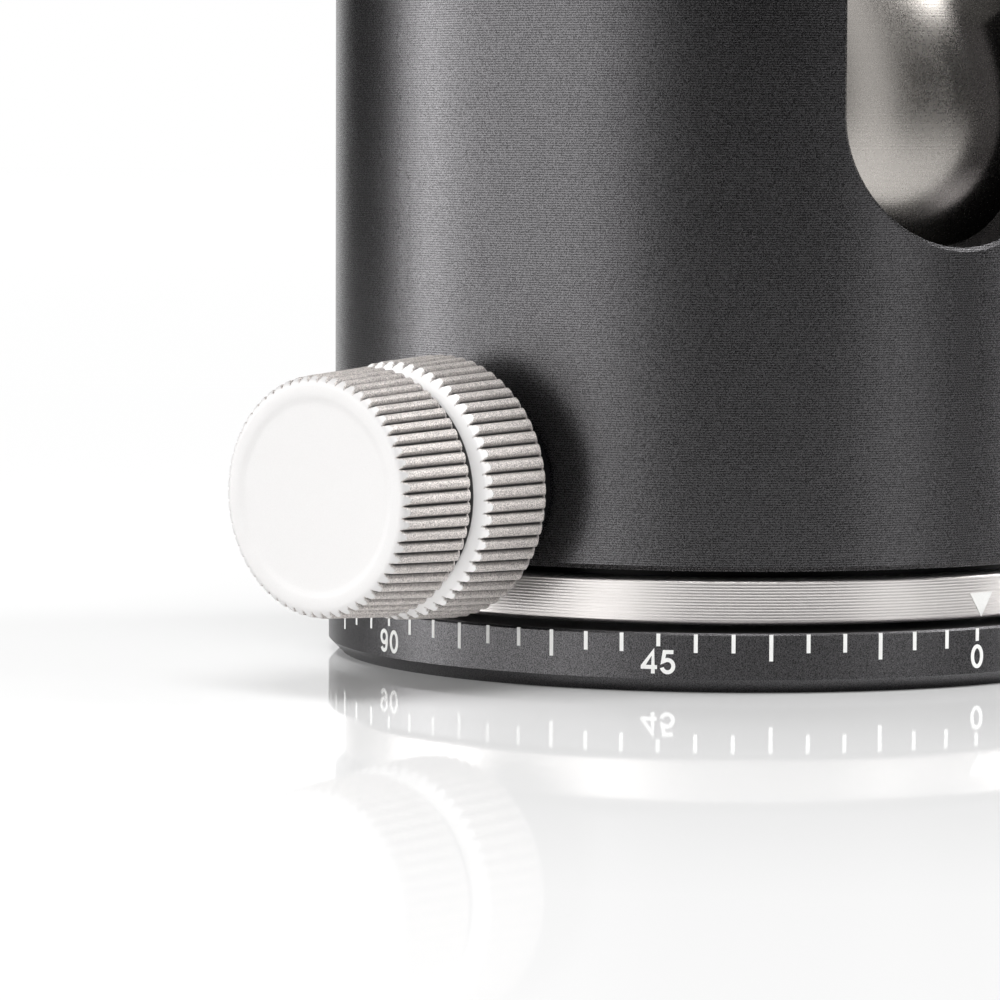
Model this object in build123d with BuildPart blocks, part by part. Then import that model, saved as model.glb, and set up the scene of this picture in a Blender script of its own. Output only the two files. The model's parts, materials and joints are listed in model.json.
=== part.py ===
"""Tripod ball head with a panning base, drop notches and a dovetail clamp.

Millimetres, +Z up. The origin is the mouth of the tripod socket, at the middle of the base's
underside. The front is -Y: one drop notch faces it. Each piece is one node in parts/.
"""

import math
import os

from build123d import *

os.makedirs("parts", exist_ok=True)

# ---------------------------------------------------------------- fits and clearances
fixed_fit = 0.02  # between two pieces that stay together
running_fit = 0.05  # radial, between a shaft and its bore
open_gap = 0.3  # between moving pieces that don't bear on each other
socket_fit = 0.05  # radial, between the ball and its two races

# ---------------------------------------------------------------- ball, cavity and wall
ball_radius = 25.0
ball_sink = 1.3  # the ball's lowest point below the top of the bearing collar
cavity_gap = 1.2  # between the ball and the housing's wall
body_wall = 3.8
rim_height = 13.8  # top of the housing above the ball centre
notch_radius = 9.32
notch_bevel = 0.3
body_bevel = 0.35
body_top_bevel = 1.2
floor_thickness = 6.42

# ---------------------------------------------------------------- base and index ring
base_overhang = 0.5  # how far the scale disc stands out past the housing
base_height = 4.28
base_chamfer = 1.0
base_bevel = 0.15
ring_inset = 0.8  # how far the index ring stays inside the housing
ring_height = 3.27
ring_wall = 5.2
ring_gap = 0.46  # shadow line between the scale disc and the ring
ring_bevel = 0.25
shoulder_inset = 1.8
shoulder_height = 0.59  # shadow line between the ring and the housing

# ---------------------------------------------------------------- panning bearing
washer_thickness = 0.3
stem_radius = 13.0
bearing_collar_width = 2.0
bearing_collar_height = 5.7
well_gap = 0.5
pan_groove_depth = 1.7
pan_groove_rise = 3.0  # groove centre above the collar's underside
spindle_bore = 6.5
hollow_radius = 10.0
hollow_depth = 3.5
socket_radius = 6.2
socket_height = 10.8
socket_flange_radius = 8.0
socket_flange_height = 2.0
thread_radius = 3.97  # minor radius of a 3/8"-16 thread
thread_depth = 9.8
base_screw_count = 4
base_screw_circle_radius = 10.6
base_screw_radius = 1.5
base_screw_head_radius = 2.7
base_screw_length = 10.0

# ---------------------------------------------------------------- lower race and its spring
cup_inset = 4.58  # cup's outside, in from the ball's
cup_bore = 12.0
cup_height = 7.5
cup_bevel = 3.0
cup_spring_thickness = 0.5
cup_spring_height = 0.8
cavity_flare = 4.9  # height over which the cavity opens above the cup

# ---------------------------------------------------------------- upper race
race_wall = 1.25  # how far the race is let into the housing
race_height = 5.9
race_skirt = 2.0  # inside of the race's foot, in from the ball's
lip_inset = 3.0  # lip, in from the ball's outside
lip_height = 0.8  # lip below the rim
lip_flare = 0.7

# ---------------------------------------------------------------- ball stem and its ring
neck_radius = 8.0
neck_fillet = 1.2
flange_radius = 12.0
flange_height = 2.0
stem_length = 8.0  # clamp seat above the ball's top
stem_ring_thickness = 0.85
stem_ring_height = 2.0

# ---------------------------------------------------------------- pan lock
pan_knob_angle = 71.0  # from the front towards -X
pan_knob_gap = 3.4  # between the housing and the knob
pan_knob_length = 14.2
pan_knob_radius = 9.4
pan_knob_dish_radius = 6.1
pan_knob_flutes = 60
pan_screw_radius = 3.0
pan_screw_hold = 9.0
pan_bush_radius = 5.2
pan_bush_depth = 7.5
pan_bush_flange_radius = 6.2
pan_bush_knob_gap = 2.0
pan_shoe_radius = 2.6
pan_shoe_tip = 0.4

# ---------------------------------------------------------------- ball lock
lock_rise = 2.0  # lock axis above the cup's underside
lock_knob_gap = 3.6
lock_knob_length = 14.6
lock_knob_radius = 13.2
lock_knob_flutes = 72
lock_screw_radius = 5.0
lock_screw_hold = 10.6
lock_bush_radius = 7.2
lock_bush_depth = 5.7
lock_bush_flange_radius = 9.0
lock_bush_knob_gap = 2.0
piston_radius = 2.6
dial_radius = 6.9
dial_height = 2.7
dial_recess = 3.3
dial_bevel = 0.6
dial_slot_width = 1.6
dial_slot_depth = 1.2
dial_skin = 1.5  # thickness left over the friction screw's end
friction_screw_radius = 2.0

# ---------------------------------------------------------------- dovetail clamp
clamp_length = 50.0
clamp_half_width = 27.0
clamp_floor = 9.3  # channel floor above the clamp's underside
jaw_height = 6.2  # jaw top above the channel floor
dovetail_half_width = 19.3
dovetail_wall = 1.4
dovetail_lip_width = 2.4  # how far the 45 degree lips reach in
clamp_bevel = 1.0
clamp_corner = 3.0  # radius of the clamp's corners, seen from above
jaw_seat_width = 2.8  # the moving jaw's step under the dovetail
clamp_screw_rise = 4.7  # above the clamp's underside
clamp_screw_radius = 3.0
clamp_screw_engaged = 8.2
clamp_screw_hold = 9.0
clamp_knob_radius = 9.0
clamp_knob_length = 12.0
clamp_knob_dish_radius = 5.9
clamp_knob_flutes = 56
clamp_washer_thickness = 0.8
clamp_washer_radius = 6.5
guide_pin_radius = 2.0
guide_pin_spread = 16.0
guide_pin_embedded = 12.0
guide_pin_reach = 8.5
clamp_bolt_radius = 3.0
clamp_bolt_head_radius = 5.0
clamp_bolt_head_height = 5.0
clamp_bolt_sink = 0.4
clamp_bolt_grip = 14.0
clamp_bolt_key = 2.5
dowel_radius = 1.25
dowel_spread = 5.6
dowel_half_length = 3.0
pad_width = 5.0
pad_length = 40.0
pad_spread = 10.5
pad_recess = 0.7
pad_thickness = 1.0
vial_radius = 3.2
vial_depth = 4.0
vial_spread = 14.0

# ---------------------------------------------------------------- knurled knobs
flute_depth = 0.36
flute_half_width = 0.26
flute_runout = 0.6
knob_taper = 0.35  # each knurled step is this much narrower at its front
knob_step = 0.6  # the front step's crest below the rear one's
knob_rear_share = 0.38  # share of the length that the rear step takes
knob_tooth_run = 0.55  # length of the slope where the rear step's flutes run out
knob_cone = 1.2  # length of the bright cone in the waist
knob_cone_drop = 0.73
knob_waist_drop = 1.6
knob_waist_width = 0.65
knob_front_bevel = 0.75
knob_rear_bevel = 0.35
knob_dish_depth = 0.3
knob_dish_slope = 0.15

# ---------------------------------------------------------------- levels that follow
cavity_radius = ball_radius + cavity_gap
body_radius = cavity_radius + body_wall
base_radius = body_radius + base_overhang
ring_radius = body_radius - ring_inset
ring_bore = ring_radius - ring_wall
shoulder_radius = ring_radius - shoulder_inset
bearing_collar_radius = stem_radius + bearing_collar_width
well_radius = bearing_collar_radius + well_gap
cup_radius = ball_radius - cup_inset
cup_bore_radius = cup_radius + running_fit
race_radius = cavity_radius + race_wall
race_seat_radius = race_radius + running_fit
lip_radius = ball_radius - lip_inset

ring_bottom = base_height + ring_gap
ring_top = ring_bottom + ring_height
housing_bottom = ring_top + shoulder_height
floor_bottom = base_height + washer_thickness
floor_top = floor_bottom + floor_thickness
bearing_collar_bottom = floor_top + washer_thickness
bearing_collar_top = bearing_collar_bottom + bearing_collar_height
pan_knob_height = bearing_collar_bottom + pan_groove_rise
seat_height = bearing_collar_top + open_gap
cup_bottom = seat_height + cup_spring_height
cup_top = cup_bottom + cup_height
cavity_floor = cup_top + cavity_flare
lock_height = cup_bottom + lock_rise
ball_height = bearing_collar_top - ball_sink + ball_radius
housing_top = ball_height + rim_height
race_bottom = housing_top - race_height
clamp_bottom = ball_height + ball_radius + stem_length
channel_floor = clamp_bottom + clamp_floor
clamp_top = channel_floor + jaw_height
clamp_screw_level = clamp_bottom + clamp_screw_rise

# Distances from the body axis, along each lock's own axis.
pan_bush_inner = body_radius - pan_bush_depth
pan_knob_rear = body_radius + pan_knob_gap
pan_bush_outer = pan_knob_rear - pan_bush_knob_gap
lock_bush_inner = body_radius - lock_bush_depth
lock_knob_rear = body_radius + lock_knob_gap
lock_bush_outer = lock_knob_rear - lock_bush_knob_gap

body_end = dovetail_half_width - jaw_seat_width
ball_centre = (0, 0, ball_height)


def radial_plane(angle, height):
    """A plane whose Z axis leaves the body axis at a height, angle degrees from -Y towards -X."""
    turn = math.radians(angle)
    outward = (-math.sin(turn), -math.cos(turn), 0)
    return Plane(origin=(0, 0, height), x_dir=(0, 0, 1), z_dir=outward)


pan_axis = radial_plane(pan_knob_angle, pan_knob_height)
lock_axis = radial_plane(-90, lock_height)
clamp_axis = Plane(origin=(0, 0, clamp_screw_level), x_dir=(0, 0, 1), z_dir=(1, 0, 0))


def outline(plane, points):
    """A closed outline of (radius, distance along the plane's Z) points, ready to revolve."""
    side = Plane(origin=plane.origin, x_dir=plane.x_dir, z_dir=-plane.y_dir)
    with BuildSketch(side) as profile:
        with BuildLine():
            Polyline(*points, close=True)
        make_face()
    return profile.sketch


def band(plane, inner, outer, start, end):
    """The outline of a plain ring, or of a rod where inner is 0."""
    return outline(plane, [(inner, start), (outer, start), (outer, end), (inner, end)])


def spin_axis(plane):
    return Axis(plane.origin, plane.z_dir)


def save(piece, name):
    piece.part.label = name
    export_step(piece.part, f"parts/{name}.step")


def plain_ring(plane, inner, outer, start, end):
    """A ring, or a rod where inner is 0, as a finished piece."""
    with BuildPart() as ring:
        revolve(band(plane, inner, outer, start, end), axis=spin_axis(plane))
    return ring


def flute_cutter(plane, start, end):
    """A V cutter along a turned cone, from one (radius, distance) point to another.

    The V is flute_half_width wide each side at the cone and opens on past it.
    """
    (start_radius, start_level), (end_radius, end_level) = start, end
    run = Vector(end_radius - start_radius, end_level - start_level)
    along = plane.x_dir * run.X + plane.z_dir * run.Y
    origin = plane.origin + plane.x_dir * start_radius + plane.z_dir * start_level
    across = Plane(origin=origin, x_dir=plane.y_dir, z_dir=along)
    outward = math.copysign(flute_depth, across.y_dir.dot(plane.x_dir))
    with BuildPart() as cutter:
        with BuildSketch(across):
            with BuildLine():
                Polyline(
                    (0, -outward),
                    (2 * flute_half_width, outward),
                    (-2 * flute_half_width, outward),
                    close=True,
                )
            make_face()
        extrude(amount=run.length)
    return cutter.part


# ---------------------------------------------------------------- base assembly
tripod_axis = Plane.XY

with BuildPart() as graduated_base:
    revolve(
        outline(
            tripod_axis,
            [
                (socket_radius + fixed_fit, 0),
                (base_radius - base_chamfer, 0),
                (base_radius, base_chamfer),
                (base_radius, base_height - base_bevel),
                (base_radius - base_bevel, base_height),
                (socket_flange_radius + fixed_fit, base_height),
                (socket_flange_radius + fixed_fit, base_height - socket_flange_height),
                (socket_radius + fixed_fit, base_height - socket_flange_height),
            ],
        ),
        axis=Axis.Z,
    )
    with Locations(Plane.XY.rotated((180, 0, 0))):
        with PolarLocations(base_screw_circle_radius, base_screw_count, start_angle=45):
            CounterSinkHole(
                radius=base_screw_radius + running_fit,
                counter_sink_radius=base_screw_head_radius + open_gap,
                depth=base_height,
            )
save(graduated_base, "graduated_base")

with BuildPart() as tripod_socket:
    revolve(
        outline(
            tripod_axis,
            [
                (thread_radius, 0),
                (socket_radius, 0),
                (socket_radius, base_height - socket_flange_height),
                (socket_flange_radius, base_height - socket_flange_height),
                (socket_flange_radius, base_height),
                (socket_radius, base_height),
                (socket_radius, socket_height),
                (0, socket_height),
                (0, thread_depth),
                (thread_radius, thread_depth),
            ],
        ),
        axis=Axis.Z,
    )
save(tripod_socket, "tripod_socket")

with BuildPart() as pan_spindle:
    revolve(
        outline(
            tripod_axis,
            [
                (spindle_bore, base_height),
                (stem_radius, base_height),
                (stem_radius, bearing_collar_bottom),
                (bearing_collar_radius, bearing_collar_bottom),
                (bearing_collar_radius, pan_knob_height - pan_groove_depth),
                (bearing_collar_radius - pan_groove_depth, pan_knob_height),
                (bearing_collar_radius, pan_knob_height + pan_groove_depth),
                (bearing_collar_radius, bearing_collar_top),
                (hollow_radius, bearing_collar_top),
                (spindle_bore, bearing_collar_top - hollow_depth),
            ],
        ),
        axis=Axis.Z,
    )
    with BuildSketch(Plane.XY.offset(base_height)):
        with PolarLocations(base_screw_circle_radius, base_screw_count, start_angle=45):
            Circle(base_screw_radius + fixed_fit)
    extrude(amount=base_screw_length - base_height + open_gap, mode=Mode.SUBTRACT)
save(pan_spindle, "pan_spindle")

countersink_depth = base_screw_head_radius - base_screw_radius
with BuildPart() as base_screws:
    with BuildSketch(Plane.XY.offset(open_gap)):
        with PolarLocations(base_screw_circle_radius, base_screw_count, start_angle=45):
            Circle(base_screw_radius)
    extrude(amount=base_screw_length - open_gap)
    with PolarLocations(base_screw_circle_radius, base_screw_count, start_angle=45):
        with Locations((0, 0, open_gap)):
            Cone(
                bottom_radius=base_screw_head_radius,
                top_radius=base_screw_radius,
                height=countersink_depth,
                align=(Align.CENTER, Align.CENTER, Align.MIN),
            )
save(base_screws, "base_screws")

lower_washer = plain_ring(
    tripod_axis, stem_radius + open_gap, ring_bore - open_gap, base_height, floor_bottom
)
save(lower_washer, "lower_thrust_washer")

upper_washer = plain_ring(
    tripod_axis,
    stem_radius + open_gap,
    bearing_collar_radius,
    floor_top,
    bearing_collar_bottom,
)
save(upper_washer, "upper_thrust_washer")

# ---------------------------------------------------------------- housing assembly
with BuildPart() as index_ring:
    revolve(
        outline(
            tripod_axis,
            [
                (ring_bore + fixed_fit, ring_bottom),
                (ring_radius - ring_bevel, ring_bottom),
                (ring_radius, ring_bottom + ring_bevel),
                (ring_radius, ring_top - ring_bevel),
                (ring_radius - ring_bevel, ring_top),
                (shoulder_radius, ring_top),
                (shoulder_radius, housing_bottom),
                (ring_bore + fixed_fit, housing_bottom),
            ],
        ),
        axis=Axis.Z,
    )
save(index_ring, "index_ring")


def notch_cutter():
    """A drop notch that opens upwards, through the front and the back wall."""
    with BuildPart() as cutter:
        with BuildSketch(Plane.XZ):
            with Locations((0, ball_height)):
                Circle(notch_radius)
            with Locations((0, ball_height + rim_height)):
                Rectangle(2 * notch_radius, 2 * rim_height)
        extrude(amount=2 * body_radius, both=True)
    return cutter.part


shoe_bore = pan_shoe_radius + running_fit
piston_bore = piston_radius + running_fit
lock_knob_front = lock_knob_rear + lock_knob_length


def spot_face(flange):
    """Distance from the body axis of a flat that holds a round flange on the housing's side."""
    return math.sqrt(body_radius**2 - (flange + open_gap) ** 2)


pan_seat = spot_face(pan_bush_flange_radius)
lock_seat = spot_face(lock_bush_flange_radius)

with BuildPart() as housing_shell:
    revolve(
        outline(
            tripod_axis,
            [
                (stem_radius + running_fit, floor_bottom),
                (ring_bore, floor_bottom),
                (ring_bore, housing_bottom),
                (body_radius - body_bevel, housing_bottom),
                (body_radius, housing_bottom + body_bevel),
                (body_radius, housing_top - body_top_bevel),
                (body_radius - body_top_bevel, housing_top),
                (race_seat_radius, housing_top),
                (race_seat_radius, race_bottom),
                (cavity_radius, race_bottom),
                (cavity_radius, cavity_floor),
                (cup_bore_radius, cup_top),
                (cup_bore_radius, seat_height),
                (well_radius, seat_height),
                (well_radius, floor_top),
                (stem_radius + running_fit, floor_top),
            ],
        ),
        axis=Axis.Z,
    )
    add(notch_cutter(), mode=Mode.SUBTRACT)
    # The pan lock: a way for the shoe, a pocket for the bush and a flat for its flange.
    revolve(
        outline(
            pan_axis,
            [
                (0, bearing_collar_radius),
                (shoe_bore, bearing_collar_radius),
                (shoe_bore, pan_bush_inner),
                (pan_bush_radius + fixed_fit, pan_bush_inner),
                (pan_bush_radius + fixed_fit, pan_seat),
                (pan_bush_flange_radius + open_gap, pan_seat),
                (pan_bush_flange_radius + open_gap, body_radius + open_gap),
                (0, body_radius + open_gap),
            ],
        ),
        axis=spin_axis(pan_axis),
        mode=Mode.SUBTRACT,
    )
    # The ball lock: the same, larger, with a way for the piston.
    revolve(
        outline(
            lock_axis,
            [
                (0, well_radius),
                (piston_bore, well_radius),
                (piston_bore, lock_bush_inner),
                (lock_bush_radius + fixed_fit, lock_bush_inner),
                (lock_bush_radius + fixed_fit, lock_seat),
                (lock_bush_flange_radius + open_gap, lock_seat),
                (lock_bush_flange_radius + open_gap, body_radius + open_gap),
                (0, body_radius + open_gap),
            ],
        ),
        axis=spin_axis(lock_axis),
        mode=Mode.SUBTRACT,
    )
    notch_edges = [
        edge
        for edge in housing_shell.edges()
        if edge.center().Z > ball_height - notch_radius - open_gap
        and abs(edge.center().X) < notch_radius + open_gap
        and all(abs(math.hypot(v.X, v.Y) - body_radius) < 0.01 for v in edge.vertices())
    ]
    chamfer(notch_edges, notch_bevel)
save(housing_shell, "housing_shell")

# The notches part the upper race into two halves, bonded into the rim.
with BuildPart() as upper_race:
    revolve(
        outline(
            tripod_axis,
            [
                (lip_radius + lip_flare, housing_top),
                (race_radius, housing_top),
                (race_radius, race_bottom),
                (ball_radius - race_skirt, race_bottom),
                (lip_radius, housing_top - lip_height),
            ],
        ),
        axis=Axis.Z,
    )
    with Locations(ball_centre):
        Sphere(ball_radius + socket_fit, mode=Mode.SUBTRACT)
    add(notch_cutter(), mode=Mode.SUBTRACT)
save(upper_race, "upper_race")

with BuildPart() as cup_spring:
    revolve(
        outline(
            tripod_axis,
            [
                (well_radius + open_gap, seat_height),
                (cup_radius - cup_bevel - open_gap, cup_bottom - cup_spring_thickness),
                (cup_radius - cup_bevel - open_gap, cup_bottom),
                (well_radius + open_gap, seat_height + cup_spring_thickness),
            ],
        ),
        axis=Axis.Z,
    )
save(cup_spring, "cup_spring")

with BuildPart() as ball_cup:
    revolve(
        outline(
            tripod_axis,
            [
                (cup_bore, cup_bottom),
                (cup_radius - cup_bevel, cup_bottom),
                (cup_radius, cup_bottom + cup_bevel),
                (cup_radius, cup_top),
                (cup_bore, cup_top),
            ],
        ),
        axis=Axis.Z,
    )
    with Locations(ball_centre):
        Sphere(ball_radius + socket_fit, mode=Mode.SUBTRACT)
save(ball_cup, "ball_cup")

# ---------------------------------------------------------------- pan lock
with BuildPart() as pan_bush:
    revolve(
        outline(
            pan_axis,
            [
                (pan_screw_radius + running_fit, pan_bush_inner),
                (pan_bush_radius, pan_bush_inner),
                (pan_bush_radius, pan_seat),
                (pan_bush_flange_radius, pan_seat),
                (pan_bush_flange_radius, pan_bush_outer),
                (pan_screw_radius + running_fit, pan_bush_outer),
            ],
        ),
        axis=spin_axis(pan_axis),
    )
save(pan_bush, "pan_bush")

groove_bottom = bearing_collar_radius - pan_groove_depth
shoe_point = groove_bottom + open_gap * math.sqrt(2)
with BuildPart() as pan_shoe:
    revolve(
        outline(
            pan_axis,
            [
                (0, shoe_point + pan_shoe_tip),
                (pan_shoe_tip, shoe_point + pan_shoe_tip),
                (pan_shoe_radius, shoe_point + pan_shoe_radius),
                (pan_shoe_radius, pan_bush_inner),
                (0, pan_bush_inner),
            ],
        ),
        axis=spin_axis(pan_axis),
    )
save(pan_shoe, "pan_lock_shoe")

pan_screw_end = pan_knob_rear + pan_screw_hold
pan_screw = plain_ring(pan_axis, 0, pan_screw_radius, pan_bush_inner, pan_screw_end)
save(pan_screw, "pan_lock_screw")


def two_step_knob(plane, rear, length, radius, flutes, bore, bore_end, dish, dish_depth):
    """A turned knob with two fluted steps and a bright cone between them.

    radius is the crest at the rear, and dish the radius of the hollow in the front face.
    A knob whose bore ends inside it is closed at the front, and otherwise its bore runs through.
    """
    front = rear + length
    cone_rear = rear + knob_rear_share * length
    waist = cone_rear + knob_cone
    front_step = radius - knob_step
    rear_crest = [
        (radius, rear + knob_rear_bevel),
        (radius - knob_taper, cone_rear - knob_tooth_run),
    ]
    front_crest = [
        (front_step, waist + knob_waist_width),
        (front_step - knob_taper, front - knob_front_bevel),
    ]
    dish_floor = front - dish_depth
    points = [
        (bore, rear),
        (radius - knob_rear_bevel, rear),
        *rear_crest,
        (radius - knob_cone_drop, cone_rear),
        (radius - knob_waist_drop, waist),
        (radius - knob_waist_drop, waist + knob_waist_width - knob_rear_bevel),
        *front_crest,
        (front_step - knob_taper - knob_front_bevel, front),
        (dish + knob_dish_slope, front),
        (dish - knob_dish_slope, dish_floor),
    ]
    if bore_end < dish_floor:
        points += [(0, dish_floor), (0, bore_end), (bore, bore_end)]
    else:
        points += [(bore, dish_floor)]
    with BuildPart() as knob:
        revolve(outline(plane, points), axis=spin_axis(plane))
        for low, high in (rear_crest, front_crest):
            slope = (high[0] - low[0]) / (high[1] - low[1])
            start = (low[0] - slope * flute_runout, low[1] - flute_runout)
            end = (high[0] + slope * flute_runout, high[1] + flute_runout)
            flute = flute_cutter(plane, start, end)
            ring_of_flutes = [
                flute.rotate(spin_axis(plane), 360 * index / flutes) for index in range(flutes)
            ]
            add(ring_of_flutes, mode=Mode.SUBTRACT)
    return knob


pan_knob = two_step_knob(
    pan_axis,
    rear=pan_knob_rear,
    length=pan_knob_length,
    radius=pan_knob_radius,
    flutes=pan_knob_flutes,
    bore=pan_screw_radius + fixed_fit,
    bore_end=pan_screw_end,
    dish=pan_knob_dish_radius,
    dish_depth=knob_dish_depth,
)
save(pan_knob, "pan_knob")

# ---------------------------------------------------------------- ball lock with friction dial
with BuildPart() as lock_bush:
    revolve(
        outline(
            lock_axis,
            [
                (lock_screw_radius + running_fit, lock_bush_inner),
                (lock_bush_radius, lock_bush_inner),
                (lock_bush_radius, lock_seat),
                (lock_bush_flange_radius, lock_seat),
                (lock_bush_flange_radius, lock_bush_outer),
                (lock_screw_radius + running_fit, lock_bush_outer),
            ],
        ),
        axis=spin_axis(lock_axis),
    )
save(lock_bush, "lock_bush")

# The piston's slanted tip lies along the cup's 45 degree bevel, so pushing it in lifts the cup.
bevel_at_piston = cup_radius - cup_bevel + (lock_height - cup_bottom)
piston_tip = bevel_at_piston + open_gap * math.sqrt(2)
with BuildPart() as lock_piston:
    revolve(
        band(lock_axis, 0, piston_radius, piston_tip - piston_radius, lock_bush_inner),
        axis=spin_axis(lock_axis),
    )
    tip_plane = Plane(
        origin=(piston_tip, 0, lock_height), x_dir=(0, 1, 0), z_dir=(-1, 0, 1)
    )
    split(bisect_by=tip_plane, keep=Keep.BOTTOM)
save(lock_piston, "lock_piston")

lock_screw_end = lock_knob_rear + lock_screw_hold
lock_screw = plain_ring(
    lock_axis,
    friction_screw_radius + running_fit,
    lock_screw_radius,
    lock_bush_inner,
    lock_screw_end,
)
save(lock_screw, "lock_screw")

lock_knob = two_step_knob(
    lock_axis,
    rear=lock_knob_rear,
    length=lock_knob_length,
    radius=lock_knob_radius,
    flutes=lock_knob_flutes,
    bore=lock_screw_radius + fixed_fit,
    bore_end=lock_knob_front,
    dish=dial_radius + 2 * open_gap,
    dish_depth=dial_recess,
)
save(lock_knob, "lock_knob")

dial_rear = lock_knob_front - dial_recess + running_fit
dial_front = dial_rear + dial_height
with BuildPart() as friction_dial:
    revolve(
        outline(
            lock_axis,
            [
                (friction_screw_radius + fixed_fit, dial_rear),
                (dial_radius, dial_rear),
                (dial_radius, dial_front - dial_bevel),
                (dial_radius - dial_bevel, dial_front),
                (0, dial_front),
                (0, dial_front - dial_skin),
                (friction_screw_radius + fixed_fit, dial_front - dial_skin),
            ],
        ),
        axis=spin_axis(lock_axis),
    )
    with BuildSketch(lock_axis.offset(dial_front)):
        Rectangle(dial_slot_width, 2 * dial_radius)
    extrude(amount=-dial_slot_depth, mode=Mode.SUBTRACT)
save(friction_dial, "friction_dial")

friction_screw = plain_ring(
    lock_axis,
    0,
    friction_screw_radius,
    lock_bush_inner + open_gap,
    dial_front - dial_skin,
)
save(friction_screw, "friction_screw")

# ---------------------------------------------------------------- ball, stem and stem ring
flange_bottom = clamp_bottom - flange_height
with BuildPart() as ball:
    with Locations(ball_centre):
        Sphere(ball_radius)
    revolve(
        outline(
            tripod_axis,
            [
                (0, ball_height),
                (neck_radius, ball_height),
                (neck_radius, flange_bottom),
                (flange_radius, flange_bottom),
                (flange_radius, clamp_bottom),
                (0, clamp_bottom),
            ],
        ),
        axis=Axis.Z,
    )
    neck_joint = (
        ball.edges()
        .filter_by(GeomType.CIRCLE)
        .filter_by(lambda edge: abs(edge.radius - neck_radius) < 0.01)
        .sort_by(Axis.Z)[0]
    )
    fillet(neck_joint, neck_fillet)
    with BuildSketch(Plane.XY.offset(clamp_bottom)):
        Circle(clamp_bolt_radius + running_fit)
    extrude(amount=-clamp_bolt_grip - open_gap, mode=Mode.SUBTRACT)
    with BuildSketch(Plane.XY.offset(clamp_bottom)):
        with Locations((0, dowel_spread), (0, -dowel_spread)):
            Circle(dowel_radius + fixed_fit)
    extrude(amount=-dowel_half_length, mode=Mode.SUBTRACT)
save(ball, "ball")

stem_ring = plain_ring(
    tripod_axis,
    neck_radius + running_fit,
    neck_radius + running_fit + stem_ring_thickness,
    flange_bottom - running_fit - stem_ring_height,
    flange_bottom - running_fit,
)
save(stem_ring, "stem_ring")

# ---------------------------------------------------------------- dovetail clamp
lip_edge = dovetail_half_width - dovetail_lip_width
lip_bottom = channel_floor + dovetail_wall
lip_top = lip_bottom + dovetail_lip_width


def across_clamp(points):
    """A clamp profile of (x, z) points that runs the clamp's length."""
    with BuildSketch(Plane.XZ) as profile:
        with BuildLine():
            Polyline(*points, close=True)
        make_face()
    return profile.sketch


bolt_head_seat = channel_floor - clamp_bolt_sink - clamp_bolt_head_height

with BuildPart() as clamp_body:
    extrude(
        across_clamp(
            [
                (-clamp_half_width + clamp_bevel, clamp_bottom),
                (body_end, clamp_bottom),
                (body_end, channel_floor),
                (-dovetail_half_width, channel_floor),
                (-dovetail_half_width, lip_bottom),
                (-lip_edge, lip_top),
                (-lip_edge, clamp_top - clamp_bevel),
                (-lip_edge - clamp_bevel, clamp_top),
                (-clamp_half_width + clamp_bevel, clamp_top),
                (-clamp_half_width, clamp_top - clamp_bevel),
                (-clamp_half_width, clamp_bottom + clamp_bevel),
            ]
        ),
        amount=clamp_length / 2,
        both=True,
    )
    with BuildSketch(Plane.XY.offset(bolt_head_seat)):
        Circle(clamp_bolt_head_radius + open_gap)
    extrude(amount=clamp_floor, mode=Mode.SUBTRACT)
    with BuildSketch(Plane.XY.offset(clamp_bottom)):
        Circle(clamp_bolt_radius + open_gap)
    extrude(amount=clamp_floor, mode=Mode.SUBTRACT)
    with BuildSketch(Plane.XY.offset(clamp_bottom)):
        with Locations((0, dowel_spread), (0, -dowel_spread)):
            Circle(dowel_radius + fixed_fit)
    extrude(amount=dowel_half_length, mode=Mode.SUBTRACT)
    with BuildSketch(clamp_axis.offset(body_end)):
        Circle(clamp_screw_radius + running_fit)
    extrude(amount=-clamp_screw_engaged - open_gap, mode=Mode.SUBTRACT)
    with BuildSketch(clamp_axis.offset(body_end)):
        with Locations((0, guide_pin_spread), (0, -guide_pin_spread)):
            Circle(guide_pin_radius + fixed_fit)
    extrude(amount=-guide_pin_embedded, mode=Mode.SUBTRACT)
    with BuildSketch(Plane.XY.offset(channel_floor)):
        with Locations((-pad_spread, 0), (pad_spread, 0)):
            SlotOverall(pad_length, pad_width, rotation=90)
    extrude(amount=-pad_recess, mode=Mode.SUBTRACT)
    vial_x = -(lip_edge + clamp_half_width) / 2
    with BuildSketch(Plane.XY.offset(clamp_top)):
        with Locations((vial_x, vial_spread)):
            Circle(vial_radius + fixed_fit)
    extrude(amount=-vial_depth, mode=Mode.SUBTRACT)
    with BuildSketch(Plane.XY.offset(clamp_bottom)):
        RectangleRounded(2 * clamp_half_width, clamp_length, clamp_corner)
    extrude(amount=clamp_top - clamp_bottom, mode=Mode.INTERSECT)
save(clamp_body, "clamp_body")

with BuildPart() as grip_pads:
    with BuildSketch(Plane.XY.offset(channel_floor - pad_recess)):
        with Locations((-pad_spread, 0), (pad_spread, 0)):
            SlotOverall(pad_length - 2 * fixed_fit, pad_width - 2 * fixed_fit, rotation=90)
    extrude(amount=pad_thickness)
save(grip_pads, "grip_pads")

with BuildPart() as level_vial:
    with BuildSketch(Plane.XY.offset(clamp_top - vial_depth)):
        with Locations((vial_x, vial_spread)):
            Circle(vial_radius)
    extrude(amount=vial_depth)
    fillet(level_vial.edges().group_by(Axis.Z)[-1], open_gap)
save(level_vial, "level_vial")

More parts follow.
